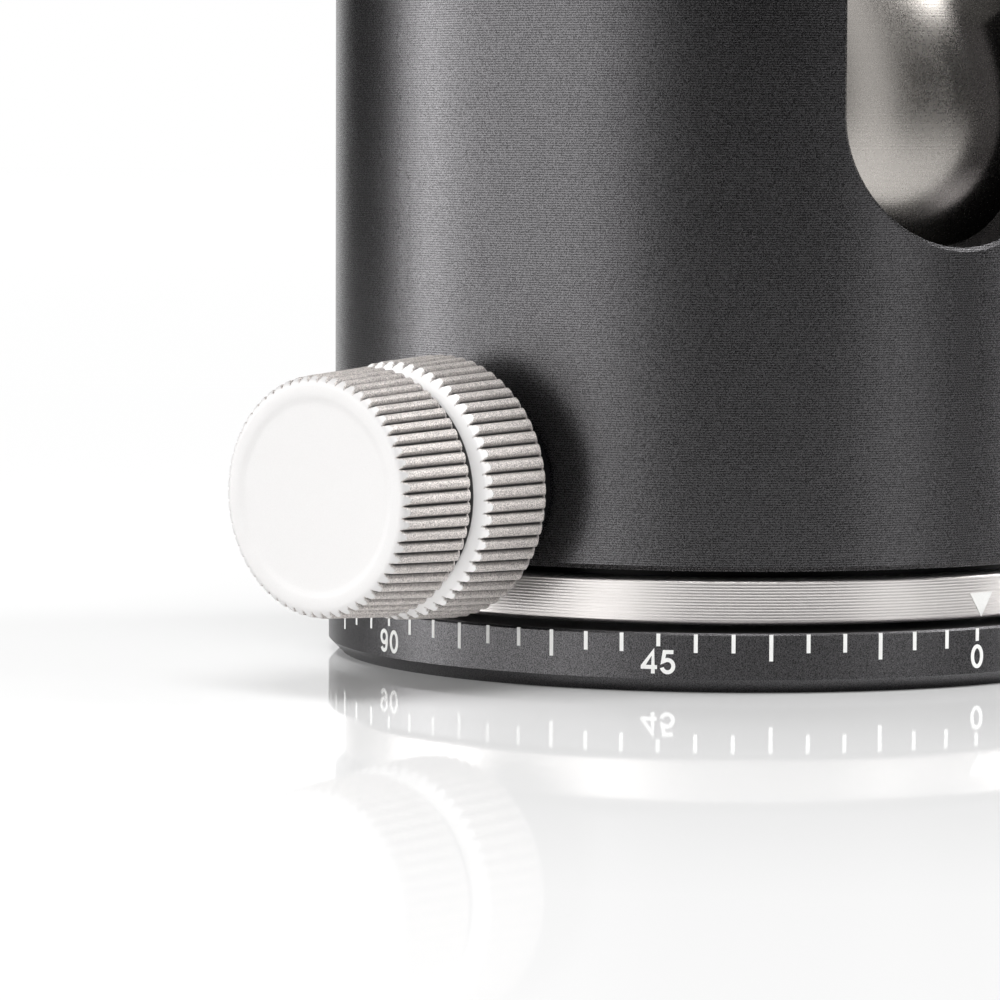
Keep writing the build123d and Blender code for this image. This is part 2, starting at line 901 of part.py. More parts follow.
with BuildPart() as clamp_bolt:
    with BuildSketch(Plane.XY.offset(bolt_head_seat)):
        Circle(clamp_bolt_radius)
    extrude(amount=-(bolt_head_seat - clamp_bottom) - clamp_bolt_grip)
    with BuildSketch(Plane.XY.offset(bolt_head_seat)):
        Circle(clamp_bolt_head_radius)
    extrude(amount=clamp_bolt_head_height)
    chamfer(clamp_bolt.edges().group_by(Axis.Z)[-1], open_gap)
    with BuildSketch(Plane.XY.offset(bolt_head_seat + clamp_bolt_head_height)):
        RegularPolygon(clamp_bolt_key, 6, major_radius=False)
    extrude(amount=-clamp_bolt_head_height / 2, mode=Mode.SUBTRACT)
save(clamp_bolt, "clamp_bolt")

with BuildPart() as clamp_dowels:
    with BuildSketch(Plane.XY.offset(clamp_bottom)):
        with Locations((0, dowel_spread), (0, -dowel_spread)):
            Circle(dowel_radius)
    extrude(amount=dowel_half_length - fixed_fit, both=True)
save(clamp_dowels, "clamp_dowels")

with BuildPart() as guide_pins:
    with BuildSketch(clamp_axis.offset(body_end - guide_pin_embedded)):
        with Locations((0, guide_pin_spread), (0, -guide_pin_spread)):
            Circle(guide_pin_radius)
    extrude(amount=guide_pin_embedded + guide_pin_reach)
save(guide_pins, "guide_pins")

jaw_inner = body_end + open_gap
jaw_floor = channel_floor - open_gap / 3
jaw_bottom = clamp_bottom + open_gap
with BuildPart() as moving_jaw:
    extrude(
        across_clamp(
            [
                (jaw_inner, jaw_bottom),
                (clamp_half_width - clamp_bevel, jaw_bottom),
                (clamp_half_width, jaw_bottom + clamp_bevel),
                (clamp_half_width, clamp_top - clamp_bevel),
                (clamp_half_width - clamp_bevel, clamp_top),
                (lip_edge + clamp_bevel, clamp_top),
                (lip_edge, clamp_top - clamp_bevel),
                (lip_edge, lip_top),
                (dovetail_half_width, lip_bottom),
                (dovetail_half_width, jaw_floor),
                (jaw_inner, jaw_floor),
            ]
        ),
        amount=clamp_length / 2,
        both=True,
    )
    with BuildSketch(clamp_axis.offset(jaw_inner)):
        Circle(clamp_screw_radius + open_gap)
    extrude(amount=clamp_half_width, mode=Mode.SUBTRACT)
    with BuildSketch(clamp_axis.offset(jaw_inner)):
        with Locations((0, guide_pin_spread), (0, -guide_pin_spread)):
            Circle(guide_pin_radius + running_fit)
    extrude(amount=guide_pin_reach + open_gap, mode=Mode.SUBTRACT)
    with BuildSketch(Plane.XY.offset(clamp_bottom)):
        RectangleRounded(2 * clamp_half_width, clamp_length, clamp_corner)
    extrude(amount=clamp_top - clamp_bottom, mode=Mode.INTERSECT)
save(moving_jaw, "moving_jaw")

washer_outer = clamp_half_width + clamp_washer_thickness
clamp_washer = plain_ring(
    clamp_axis,
    clamp_screw_radius + fixed_fit,
    clamp_washer_radius,
    clamp_half_width,
    washer_outer,
)
save(clamp_washer, "clamp_washer")

clamp_screw_end = washer_outer + clamp_screw_hold
clamp_screw = plain_ring(
    clamp_axis, 0, clamp_screw_radius, body_end - clamp_screw_engaged, clamp_screw_end
)
save(clamp_screw, "clamp_screw")

clamp_knob = two_step_knob(
    clamp_axis,
    rear=washer_outer,
    length=clamp_knob_length,
    radius=clamp_knob_radius,
    flutes=clamp_knob_flutes,
    bore=clamp_screw_radius + fixed_fit,
    bore_end=clamp_screw_end,
    dish=clamp_knob_dish_radius,
    dish_depth=knob_dish_depth,
)
save(clamp_knob, "clamp_knob")
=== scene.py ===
"""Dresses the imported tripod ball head: finishes, scale marks, pointer, threads, vial, studio."""

import json
import math

import bmesh
import bpy
from bpy.props import (
    FloatProperty,
    FloatVectorProperty,
    IntProperty,
    PointerProperty,
)
from mathutils import Matrix, Vector


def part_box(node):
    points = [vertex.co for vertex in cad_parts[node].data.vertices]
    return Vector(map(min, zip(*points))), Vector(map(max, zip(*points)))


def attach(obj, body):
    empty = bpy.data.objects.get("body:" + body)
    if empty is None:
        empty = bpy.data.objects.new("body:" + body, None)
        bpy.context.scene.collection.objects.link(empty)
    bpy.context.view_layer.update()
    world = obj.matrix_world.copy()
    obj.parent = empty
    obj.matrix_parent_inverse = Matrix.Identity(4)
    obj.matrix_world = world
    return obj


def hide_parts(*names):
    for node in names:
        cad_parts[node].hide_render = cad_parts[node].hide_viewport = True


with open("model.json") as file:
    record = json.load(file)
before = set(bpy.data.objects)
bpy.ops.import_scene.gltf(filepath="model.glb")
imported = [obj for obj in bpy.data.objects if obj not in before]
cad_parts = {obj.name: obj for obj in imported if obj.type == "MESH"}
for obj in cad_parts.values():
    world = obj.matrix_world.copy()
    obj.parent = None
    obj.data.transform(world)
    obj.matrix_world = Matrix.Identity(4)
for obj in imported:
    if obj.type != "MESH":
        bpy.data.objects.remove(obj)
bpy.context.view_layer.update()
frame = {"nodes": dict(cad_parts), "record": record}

bl_info = {
    "name": "Ball Head Dresser",
    "version": (1, 0, 0),
    "blender": (4, 5, 0),
    "location": "View3D > Sidebar > Ball Head",
    "description": "Finishes, marks and studio for a tripod ball head",
    "category": "Object",
}

MM = 0.001
LATHE_PITCH = 0.17 * MM  # of the fine lines turned on the body

FLOOR_GLOW = (0.04, 0.70, 0.92)  # under the head, round it and far from it
FLOOR_REACH = (0.035, 0.12, 0.15, 0.40)  # metres from the head between which the glow rises
STAGE_HALF = 4.0
TENT_HEIGHT = 2.4
TENT_REACH = 3.8
BACKDROP_REACH = 3.6
BACKDROP_ARC = (155, 205)  # degrees round from the camera
WHITE = (1.0, 1.0, 1.0, 1.0)
CLOTH = (0.02, 0.02, 0.02, 1.0)

BASE_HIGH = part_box("graduated_base")[1]
RING_LOW, RING_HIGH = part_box("index_ring")
VIAL_LOW, VIAL_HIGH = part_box("level_vial")


# ------------------------------------------------------------------ node graphs
class Value:
    """A socket of a node graph. Each arithmetic operator adds its Math node."""

    def __init__(self, graph, socket):
        self.graph = graph
        self.socket = socket

    def out(self, name):
        return Value(self.graph, self.socket.node.outputs[name])

    def math(self, operation, *others):
        return self.graph.math(operation, self, *others)

    def __add__(self, other):
        return self.math("ADD", other)

    __radd__ = __add__

    def __mul__(self, other):
        return self.math("MULTIPLY", other)

    __rmul__ = __mul__

    def __sub__(self, other):
        return self.math("SUBTRACT", other)

    def __rsub__(self, other):
        return self.graph.math("SUBTRACT", other, self)

    def __truediv__(self, other):
        return self.math("DIVIDE", other)

    def __rtruediv__(self, other):
        return self.graph.math("DIVIDE", other, self)

    def __mod__(self, other):
        return self.math("FLOORED_MODULO", other)

    def __lt__(self, other):
        return self.math("LESS_THAN", other)

    def __gt__(self, other):
        return self.math("GREATER_THAN", other)

    def clipped(self):
        """The value, held between 0 and 1."""
        return self.math("MAXIMUM", 0.0).math("MINIMUM", 1.0)


class Graph:
    """A shader or geometry tree whose nodes all come from node()."""

    def __init__(self, tree):
        self.tree = tree
        tree.nodes.clear()

    def node(self, kind, settings=(), inputs=(), output=0):
        made = self.tree.nodes.new(kind)
        for name, value in dict(settings).items():
            if name == "stops":
                self.set_stops(made.color_ramp, value)
            else:
                setattr(made, name, value)
        for key, value in dict(inputs).items():
            if isinstance(value, Value):
                self.tree.links.new(value.socket, made.inputs[key])
            else:
                made.inputs[key].default_value = value
        return Value(self, made.outputs[output]) if made.outputs else made

    def set_stops(self, ramp, stops):
        while len(ramp.elements) < len(stops):
            ramp.elements.new(1.0)
        for element, (place, level) in zip(ramp.elements, stops):
            element.position = place
            element.color = (level, level, level, 1.0)

    def math(self, operation, *values):
        return self.node("ShaderNodeMath", {"operation": operation}, enumerate(values))

    def stretch(self, vector, factors):
        return self.node(
            "ShaderNodeVectorMath", {"operation": "MULTIPLY"}, {0: vector, 1: factors}
        )

    def mix_colour(self, factor, first, second):
        return self.node(
            "ShaderNodeMix", {"data_type": "RGBA"}, {0: factor, 6: first, 7: second}, output=2
        )


class Finish(Graph):
    """One surface finish: a Principled shader with whatever varies over it."""

    def __init__(self, name):
        self.material = bpy.data.materials.new(name)
        self.material.use_nodes = True
        super().__init__(self.material.node_tree)

    def place(self):
        return self.node("ShaderNodeTexCoord", output="Object")

    def noise(self, vector, size, detail=2.0, roughness=0.5):
        """Noise whose features are about size metres across, from 0 to 1."""
        return self.node(
            "ShaderNodeTexNoise",
            inputs={
                "Vector": vector,
                "Scale": 1.0 / size,
                "Detail": detail,
                "Roughness": roughness,
            },
        )

    def bump(self, height, depth):
        """A Bump node that takes height from 0 to 1 as depth metres."""
        return self.node("ShaderNodeBump", inputs={"Height": height, "Distance": depth})

    def marked(self, name):
        """A number that the mesh carries at each point."""
        return self.node("ShaderNodeAttribute", {"attribute_name": name}, output="Fac")

    def shades(self, factor, colour, low, high=1.0):
        """A colour that goes from low to high times itself with the factor."""
        return self.mix_colour(factor, rgba(colour, low), rgba(colour, high))

    def glow(self):
        return self.node("ShaderNodeEmission", inputs={"Color": WHITE, "Strength": 1.0})

    def principled(self, **sockets):
        """A Principled shader; underscores in names stand for spaces."""
        inputs = {name.replace("_", " "): value for name, value in sockets.items()}
        return self.node("ShaderNodeBsdfPrincipled", inputs=inputs)

    def ended(self, shader):
        """The material, ended in a shader."""
        self.node("ShaderNodeOutputMaterial", inputs={"Surface": shader})
        return self.material

    def surface(self, **sockets):
        return self.ended(self.principled(**sockets))


def rgba(colour, share=1.0):
    """A colour times a share, as a socket takes it."""
    return (*(min(1.0, part * share) for part in colour), 1.0)


# ------------------------------------------------------------------ finishes
def black_anodised(name, colour, roughness, lines_share, grain_depth, contrast):
    """Blasted, turned and anodised black: a sparkling grain over fine, even lathe lines."""
    finish = Finish(name)
    place = finish.place()
    height = finish.node("ShaderNodeSeparateXYZ", inputs={0: place}, output="Z")
    wander = finish.noise(finish.stretch(place, (0.05, 0.05, 1.0)), 1.2 * MM, detail=1.0)
    turns = (height * (2 * math.pi / LATHE_PITCH) + wander * 3.0).math("SINE")
    grain = finish.noise(place, 0.075 * MM, detail=1.0)
    cloud = finish.noise(place, 5.0 * MM, detail=4.0)
    texture = (grain - 0.5) * (1.0 - lines_share) + turns * (0.5 * lines_share)
    level = (texture * contrast + (cloud - 0.5) * 0.1 + 0.5).clipped()
    return finish.surface(
        Base_Color=finish.shades(level, colour, 0.45, 1.65),
        Metallic=1.0,
        Roughness=grain * 0.16 + (cloud * 0.03 + (roughness - 0.1)),
        Normal=finish.bump(texture + 0.5, grain_depth),
    )


def bright_alloy(name, colour, roughness, grain, grain_depth, line_pitch=None, line_depth=0.0):
    """Clear anodised aluminium, bead blasted or turned, with painted shade, near black, where the
    mesh marks it.
    """
    finish = Finish(name)
    place = finish.place()
    speckle = finish.noise(place, grain, detail=3.0, roughness=0.6)
    cloud = finish.noise(place, 3.0 * MM, detail=3.0)
    height = speckle * grain_depth
    level = speckle * 0.6 + cloud * 0.3
    if line_pitch:
        lines = finish.noise(finish.stretch(place, (0.005, 0.005, 1.0)), line_pitch, detail=1.0)
        height = height + lines * line_depth
        level = level + (lines - 0.5) * 0.8
    tint = finish.shades(level.clipped(), colour, 0.84)
    return finish.surface(
        # Painted shade: near black wherever the mesh marks a gap that shade falls into.
        Base_Color=finish.mix_colour(finish.marked("recess"), tint, rgba((0.01, 0.01, 0.01))),
        Metallic=1.0,
        Roughness=speckle * 0.14 + (cloud * 0.05 + (roughness - 0.09)),
        Normal=finish.bump(height, 1.0),
    )


def knurled_alloy(name, colour, worn_colour, roughness):
    """Blasted and clear anodised, duller where it is knurled. The cut bead between its steps is
    brighter, partly its bare cut tone and partly painted light; the flutes' floors get painted
    shade."""
    finish = Finish(name)
    place = finish.place()
    speckle = finish.noise(place, 0.09 * MM, roughness=0.7)
    smear = finish.noise(
        finish.stretch(place, (0.4, 1.0, 1.0)), 0.3 * MM, detail=4.0, roughness=0.7
    )
    # Painted shade: the groove mask darkens the flutes' floors and the gap between the steps.
    groove = (finish.marked("groove") * 1.5).math("MINIMUM", 1.0)
    worn = finish.marked("worn")
    blasted = finish.shades(speckle, colour, 0.9)
    # Painted light: the cut bead is painted brighter than the blasted face, standing in for light
    # from the front, besides its bare cut tone.
    unknurled_with_painted_light = finish.mix_colour(finish.marked("cut"), blasted, rgba(colour, 1.38))
    grain = (speckle - 0.5) * 3.6 + (smear - 0.5) * 0.8 + 0.5
    dull = finish.shades(grain.clipped(), worn_colour, 0.55, 1.6)
    knurled = finish.mix_colour(worn, unknurled_with_painted_light, dull)
    relief = speckle * (worn * (0.02 * MM) + 0.006 * MM) + worn * (smear * (0.02 * MM))
    return finish.surface(
        # Painted shade: near black where the groove mask is set.
        Base_Color=finish.mix_colour(groove, knurled, rgba(colour, 0.1)),
        Metallic=0.3,
        Roughness=speckle * 0.12 + (groove * 0.15 + (roughness - 0.06)),
        Normal=finish.bump(relief, 1.0),
    )


def machined_steel(name, colour, roughness):
    finish = Finish(name)
    place = finish.place()
    swirl = finish.noise(finish.stretch(place, (1.0, 1.0, 6.0)), 0.25 * MM, detail=4.0)
    return finish.surface(
        Base_Color=rgba(colour),
        Metallic=1.0,
        Roughness=swirl * 0.2 + (roughness - 0.1),
        Normal=finish.bump(swirl, 0.004 * MM),
    )


def smooth_plastic(name, colour, roughness):
    finish = Finish(name)
    skin = finish.noise(finish.place(), 0.4 * MM, detail=3.0)
    return finish.surface(
        Base_Color=finish.shades(skin, colour, 0.9),
        Roughness=skin * 0.1 + (roughness - 0.05),
        Normal=finish.bump(skin, 0.006 * MM),
    )


def matt_rubber(name, colour):
    finish = Finish(name)
    skin = finish.noise(finish.place(), 0.2 * MM, detail=5.0, roughness=0.7)
    return finish.surface(
        Base_Color=finish.shades(skin, colour, 0.6),
        Roughness=skin * 0.2 + 0.6,
        Normal=finish.bump(skin, 0.02 * MM),
    )


def printed_mark(name, colour):
    finish = Finish(name)
    ink = finish.noise(finish.place(), 0.12 * MM, detail=4.0)
    return finish.surface(
        Base_Color=finish.shades(ink, colour, 0.86), Roughness=ink * 0.15 + 0.45
    )


def vial_liquid(name, colour):
    finish = Finish(name)
    cloud = finish.noise(finish.place(), 2.0 * MM)
    return finish.surface(
        Base_Color=finish.shades(cloud, colour, 0.85),
        Roughness=cloud * 0.02 + 0.05,
        Coat_Weight=1.0,
    )


# ------------------------------------------------------------------ settings
def distance_setting(name, description, default):
    return FloatProperty(
        name=name, description=description, default=default, subtype="DISTANCE", unit="LENGTH"
    )


def angle_setting(name, description, degrees):
    return FloatProperty(
        name=name,
        description=description,
        default=math.radians(degrees),
        subtype="ANGLE",
        unit="ROTATION",
    )


def number_setting(name, description, default):
    return FloatProperty(name=name, description=description, default=default)


def colour_setting(name, description, default):
    return FloatVectorProperty(
        name=name, description=description, default=default, subtype="COLOR", min=0.0, max=1.0
    )


class BallHeadFinishSettings(bpy.types.PropertyGroup):
    anodised_black: colour_setting(
        "Anodised Black", "Colour of the base, housing and clamp", (0.088, 0.086, 0.089)
    )
    blasted_silver: colour_setting("Blasted Silver", "Colour of the knobs", (0.69, 0.68, 0.676))
    worn_silver: colour_setting(
        "Worn Silver", "Colour of the knobs where they are knurled", (0.50, 0.467, 0.447)
    )
    turned_silver: colour_setting(
        "Turned Silver", "Colour of the index ring", (0.86, 0.825, 0.805)
    )
    ball_silver: colour_setting("Ball Silver", "Colour of the ball", (0.50, 0.47, 0.44))
    mark_white: colour_setting("Mark White", "Colour of the printed marks", (0.95, 0.95, 0.93))


class BallHeadScaleSettings(bpy.types.PropertyGroup):
    tick_count: IntProperty(
        name="Ticks", description="Ticks round the scale disc", default=72, min=8, max=360
    )
    tick_width: distance_setting("Tick Width", "Width of one tick", 0.28 * MM)
    tick_height: distance_setting("Tick Height", "Height of a plain tick", 1.32 * MM)
    long_tick_height: distance_setting(
        "Long Tick Height", "Height of every third tick", 1.88 * MM
    )
    number_tick_height: distance_setting(
        "Number Tick Height", "Height of a tick over a number", 0.9 * MM
    )
    number_height: distance_setting("Number Height", "Height of the numbers", 1.66 * MM)
    number_foot: distance_setting(
        "Number Foot", "Foot of the numbers above the floor", 1.38 * MM
    )
    zero_bearing: angle_setting(
        "Zero Bearing", "Where the scale's zero lies, from the front towards -X", -1.74
    )
    print_lift: distance_setting(
        "Print Lift", "How far printed marks stand off their surface", 0.02 * MM
    )
    pointer_width: distance_setting(
        "Pointer Width", "Width of the index ring's triangle", 2.1 * MM
    )
    pointer_height: distance_setting(
        "Pointer Height", "Height of the index ring's triangle", 1.75 * MM
    )
    pointer_bearing: angle_setting(
        "Pointer Bearing", "Where the pointer lies, from the front towards -X", -4.5
    )
    groove_pitch: distance_setting(
        "Groove Pitch", "Pitch of the index ring's turned grooves", 0.2 * MM
    )
    groove_depth: distance_setting(
        "Groove Depth", "Depth of the index ring's turned grooves", 0.026 * MM
    )


class BallHeadKnobSettings(bpy.types.PropertyGroup):
    flute_depth: distance_setting(
        "Flute Depth", "Depth of the V cuts round the knobs", 0.42 * MM
    )
    flute_half_width: distance_setting(
        "Flute Half Width", "Half the width of a V cut at the crest", 0.26 * MM
    )
    land_crown: distance_setting(
        "Land Crown", "How much lower a land is at its edges than at its middle", 0.16 * MM
    )
    taper: distance_setting(
        "Taper", "How much narrower each fluted step is at its front", 0.35 * MM
    )
    step: distance_setting("Step", "Front step's crest below the rear one's", 0.6 * MM)
    rear_share: number_setting(
        "Rear Share", "Share of the length that the rear step takes", 0.425
    )
    rim_radius: distance_setting(
        "Rim Radius", "Radius of the round rim at the front", 0.75 * MM
    )
    dish_depth: distance_setting(
        "Dish Depth", "Depth of the shallow hollow in the front face", 0.24 * MM
    )
    tooth_length: distance_setting(
        "Tooth Length", "Length of the slope on which the rear step's flutes run out", 0.35 * MM
    )
    thread_depth: distance_setting(
        "Thread Depth", "Depth of the clamp screw's thread", 0.45 * MM
    )
    thread_pitch: distance_setting(
        "Thread Pitch", "Pitch of the clamp screw's thread", 1.0 * MM
    )
    thread_length: distance_setting(
        "Thread Length", "How far the clamp screw is threaded from its tip", 15.0 * MM
    )
    unevenness: distance_setting(
        "Unevenness", "How much the knurling tool wanders in depth", 0.07 * MM
    )


class BallHeadStudioSettings(bpy.types.PropertyGroup):
    view_bearing: angle_setting(
        "View Bearing",
        "Direction that the camera looks from, anticlockwise from the front",
        -31.533,
    )
    view_height: angle_setting("View Elevation", "How far the camera looks down", 4.4827)
    view_roll: angle_setting("View Roll", "Turn of the camera about its own axis", 0.2049)
    view_distance: distance_setting(
        "View Distance",
        "From the camera to the tripod socket, along its line of sight",
        373.143 * MM,
    )
    view_right: distance_setting(
        "Subject Right",
        "How far the tripod socket lies right of the line of sight",
        17.371 * MM,
    )
    view_up: distance_setting(
        "Subject Up",
        "How far the tripod socket lies above the line of sight",
        -11.322 * MM,
    )
    lens: number_setting("Lens", "Focal length on a 36 mm sensor, in millimetres", 174.985)
    left_level: number_setting(
        "Left Panel", "Brightness of the large panel on the left", 2.25
    )
    right_level: number_setting(
        "Right Key", "Brightness of the narrow lamp on the right", 7.6
    )
    wash_level: number_setting(
        "Floor Wash", "Brightness of the lamp over the far floor", 1.8
    )
    high_level: number_setting(
        "High Panels", "Brightness of the panels above the head", 8.0
    )


SETTINGS = {
    "ballhead_finish": BallHeadFinishSettings,
    "ballhead_scale": BallHeadScaleSettings,
    "ballhead_knob": BallHeadKnobSettings,
    "ballhead_studio": BallHeadStudioSettings,
}


# ------------------------------------------------------------------ numerals
DIGIT_WIDTH, DIGIT_GAP, DIGIT_STROKE = 0.66, 0.14, 0.17  # as shares of a digit's height


def bend(across, up, wide, tall, start, end):
    """Points of an elliptical arc from one angle to another, in degrees."""
    count = max(2, round(abs(end - start) / 12))
    points = []
    for step in range(count + 1):
        angle = math.radians(start + (end - start) * step / count)
        points.append((across + wide * math.cos(angle), up + tall * math.sin(angle)))
    return points


# Each digit is a list of pen strokes, one unit tall, and whether the stroke is a closed loop.
DIGITS = {
    "0": [(bend(0.33, 0.5, 0.25, 0.432, 0, 348), True)],
    "1": [([(0.13, 0.74), (0.28, 0.83), (0.385, 0.97), (0.385, 0.0)], False)],
    "2": [(bend(0.33, 0.69, 0.235, 0.243, 175, -35) + [(0.12, 0.068), (0.62, 0.068)], False)],
    "3": [
        (bend(0.31, 0.73, 0.2, 0.203, 160, -75), False),
        (bend(0.31, 0.295, 0.245, 0.228, 80, -165), False),
    ],
    "4": [([(0.5, 0.0), (0.5, 0.93), (0.06, 0.31), (0.06, 0.275), (0.68, 0.275)], False)],
    "5": [
        (
            [(0.58, 0.93), (0.2, 0.93), (0.13, 0.52)] + bend(0.33, 0.33, 0.25, 0.263, 125, -165),
            False,
        ),
    ],
    "7": [([(0.05, 0.93), (0.59, 0.93), (0.42, 0.66), (0.31, 0.33), (0.27, 0.0)], False)],
    "8": [
        (bend(0.33, 0.745, 0.195, 0.188, 0, 345), True),
        (bend(0.33, 0.29, 0.245, 0.223, 0, 345), True),
    ],
    "9": [
        (bend(0.32, 0.67, 0.235, 0.262, 0, 345), True),
        (
            [(0.555, 0.67), (0.55, 0.42), (0.5, 0.2)] + bend(0.31, 0.26, 0.2, 0.192, -35, -165),
            False,
        ),
    ],
}


# ------------------------------------------------------------------ mesh helpers
def on_cylinder(radius, bearing, height):
    """The point at a bearing from the front towards -X, on a cylinder about the body axis."""
    return Vector((-radius * math.sin(bearing), -radius * math.cos(bearing), height))


def axis_of(body):
    """The transform from a Z axis to the axis that the body turns on."""
    joint = next(
        joint for joint in frame["record"]["behaviour"]["joints"] if joint["child"] == body
    )
    turn = Vector(joint["axis"]).to_track_quat("Z", "Y").to_matrix().to_4x4()
    return Matrix.Translation(joint["pos_m"]) @ turn


def turned_size(node, foot):
    """The radius, rear and front of a turned solid about the axis that foot gives."""
    points = [foot.inverted() @ vertex.co for vertex in frame["nodes"][node].data.vertices]
    heights = [point.z for point in points]
    return max(math.hypot(point.x, point.y) for point in points), min(heights), max(heights)


def settle(name, mesh, material, body):
    """Makes a mesh that is already in place a piece of the object, riding on a body."""
    mesh.materials.clear()
    mesh.materials.append(material)
    piece = bpy.data.objects.new(name, mesh)
    bpy.context.scene.collection.objects.link(piece)
    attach(piece, body)
    return piece


def mesh_of(name, build):
    """The mesh of what is built, its faces turned outwards."""
    bmesh.ops.recalc_face_normals(build, faces=build.faces)
    mesh = bpy.data.meshes.new(name)
    build.to_mesh(mesh)
    build.free()
    return mesh


def round_about(count):
    """Evenly spaced bearings."""
    return [math.radians(360 / count * step) for step in range(count)]


def turned(name, outline, bearings, closed=True):
    """A (radius, height) outline revolved about Z; a point on the axis closes to a pole."""
    build = bmesh.new()
    rings = [
        [build.verts.new(on_cylinder(radius, bearing, height)) for bearing in bearings]
        for radius, height in outline
    ]
    pairs = list(zip(rings, rings[1:] + rings[:1]))
    for lower, upper in pairs if closed else pairs[:-1]:
        for step in range(len(bearings)):
            after = (step + 1) % len(bearings)
            build.faces.new((lower[step], lower[after], upper[after], upper[step]))
    bmesh.ops.remove_doubles(build, verts=build.verts, dist=0.0005 * MM)
    return mesh_of(name, build)


def smooth(mesh, angle=35.0):
    """Smooth shading with edges sharper than the angle kept crisp."""
    mesh.shade_smooth()
    mesh.set_sharp_from_angle(angle=math.radians(angle))


def stepped(start, end, pitch):
    """Points of a straight run from start to end, about pitch apart, without its end."""
    count = max(1, math.ceil(math.dist(start, end) / pitch))
    return [
        tuple(a + (b - a) * step / count for a, b in zip(start, end)) for step in range(count)
    ]


def rounded(centre, radius, start, end, count):
    """Points of an arc about centre, between two angles in degrees."""
    points = []
    for step in range(count + 1):
        angle = math.radians(start + (end - start) * step / count)
        points.append((centre[0] + radius * math.cos(angle), centre[1] + radius * math.sin(angle)))
    return points


def wrap(mesh, radius, bearing):
    """Bends a flat mesh in X and Y round the body axis; its Z becomes height off the cylinder."""
    for vertex in mesh.vertices:
        across, up, off = vertex.co
        vertex.co = on_cylinder(radius + off, bearing - across / radius, up)
    mesh.update()


def grow(name, tree, sizes, material, blank=None):
    """Runs a geometry tree with its sizes, on a blank mesh if given, and gives a plain mesh."""
    start = blank or bpy.data.meshes.new(name + "_seed")
    seed = bpy.data.objects.new(name + "_seed", start)
    bpy.context.scene.collection.objects.link(seed)
    modifier = seed.modifiers.new("Grow", "NODES")
    modifier.node_group = tree
    for item in tree.interface.items_tree:
        if item.in_out == "INPUT" and item.name in sizes:
            modifier[item.identifier] = sizes[item.name]
        if item.in_out == "INPUT" and item.name == "Material":
            modifier[item.identifier] = material
    depsgraph = bpy.context.evaluated_depsgraph_get()
    mesh = bpy.data.meshes.new_from_object(seed.evaluated_get(depsgraph), depsgraph=depsgraph)
    seed.modifiers.remove(modifier)
    bpy.data.objects.remove(seed)
    mesh.name = name
    return mesh


def geometry_tree(name, sizes):
    """A new geometry tree: a blank and float sizes in, a Material in, and one mesh out."""
    tree = bpy.data.node_groups.new(name, "GeometryNodeTree")
    tree.interface.new_socket("Geometry", in_out="OUTPUT", socket_type="NodeSocketGeometry")
    tree.interface.new_socket("Blank", in_out="INPUT", socket_type="NodeSocketGeometry")
    for size in sizes:
        tree.interface.new_socket(size, in_out="INPUT", socket_type="NodeSocketFloat")
    tree.interface.new_socket("Material", in_out="INPUT", socket_type="NodeSocketMaterial")
    graph = Graph(tree)
    given = graph.node("NodeGroupInput", output=sizes[0])
    return tree, graph, given


def end_tree(graph, geometry, given):
    real = graph.node("GeometryNodeRealizeInstances", inputs={"Geometry": geometry})
    painted = graph.node(
        "GeometryNodeSetMaterial", inputs={"Geometry": real, "Material": given.out("Material")}
    )
    graph.node("NodeGroupOutput", inputs={0: painted})


def tick_tree():
    """Ticks round a cylinder: every third is long, and every ninth is short, over a number."""
    names = ["Count", "Radius", "Top", "Width", "Depth", "Plain", "Long", "Short", "Bearing"]
    tree, graph, given = geometry_tree("scale_ticks", names)
    index = graph.node("GeometryNodeInputIndex")
    bearing = index * (2 * math.pi / given.out("Count")) + given.out("Bearing")
    is_long = (index % 3.0) < 0.5
    is_numbered = (index % 9.0) < 0.5
    height = given.out("Plain") + is_long * (given.out("Long") - given.out("Plain"))
    height = height + is_numbered * (given.out("Short") - given.out("Long"))
    centre = graph.node(
        "ShaderNodeCombineXYZ",
        inputs={
            "X": bearing.math("SINE") * (0.0 - given.out("Radius")),
            "Y": bearing.math("COSINE") * (0.0 - given.out("Radius")),
            "Z": given.out("Top") - height / 2.0,
        },
    )
    points = graph.node(
        "GeometryNodePoints", inputs={"Count": given.out("Count"), "Position": centre}
    )
    size = graph.node(
        "ShaderNodeCombineXYZ", inputs={"X": given.out("Width"), "Y": given.out("Depth"), "Z": 1.0}
    )
    tick = graph.node("GeometryNodeMeshCube", inputs={"Size": size})
    turn = graph.node("ShaderNodeCombineXYZ", inputs={"Z": 0.0 - bearing})
    stretch = graph.node("ShaderNodeCombineXYZ", inputs={"X": 1.0, "Y": 1.0, "Z": height})
    ticks = graph.node(
        "GeometryNodeInstanceOnPoints",
        inputs={"Points": points, "Instance": tick, "Rotation": turn, "Scale": stretch},
    )
    end_tree(graph, ticks, given)
    return tree


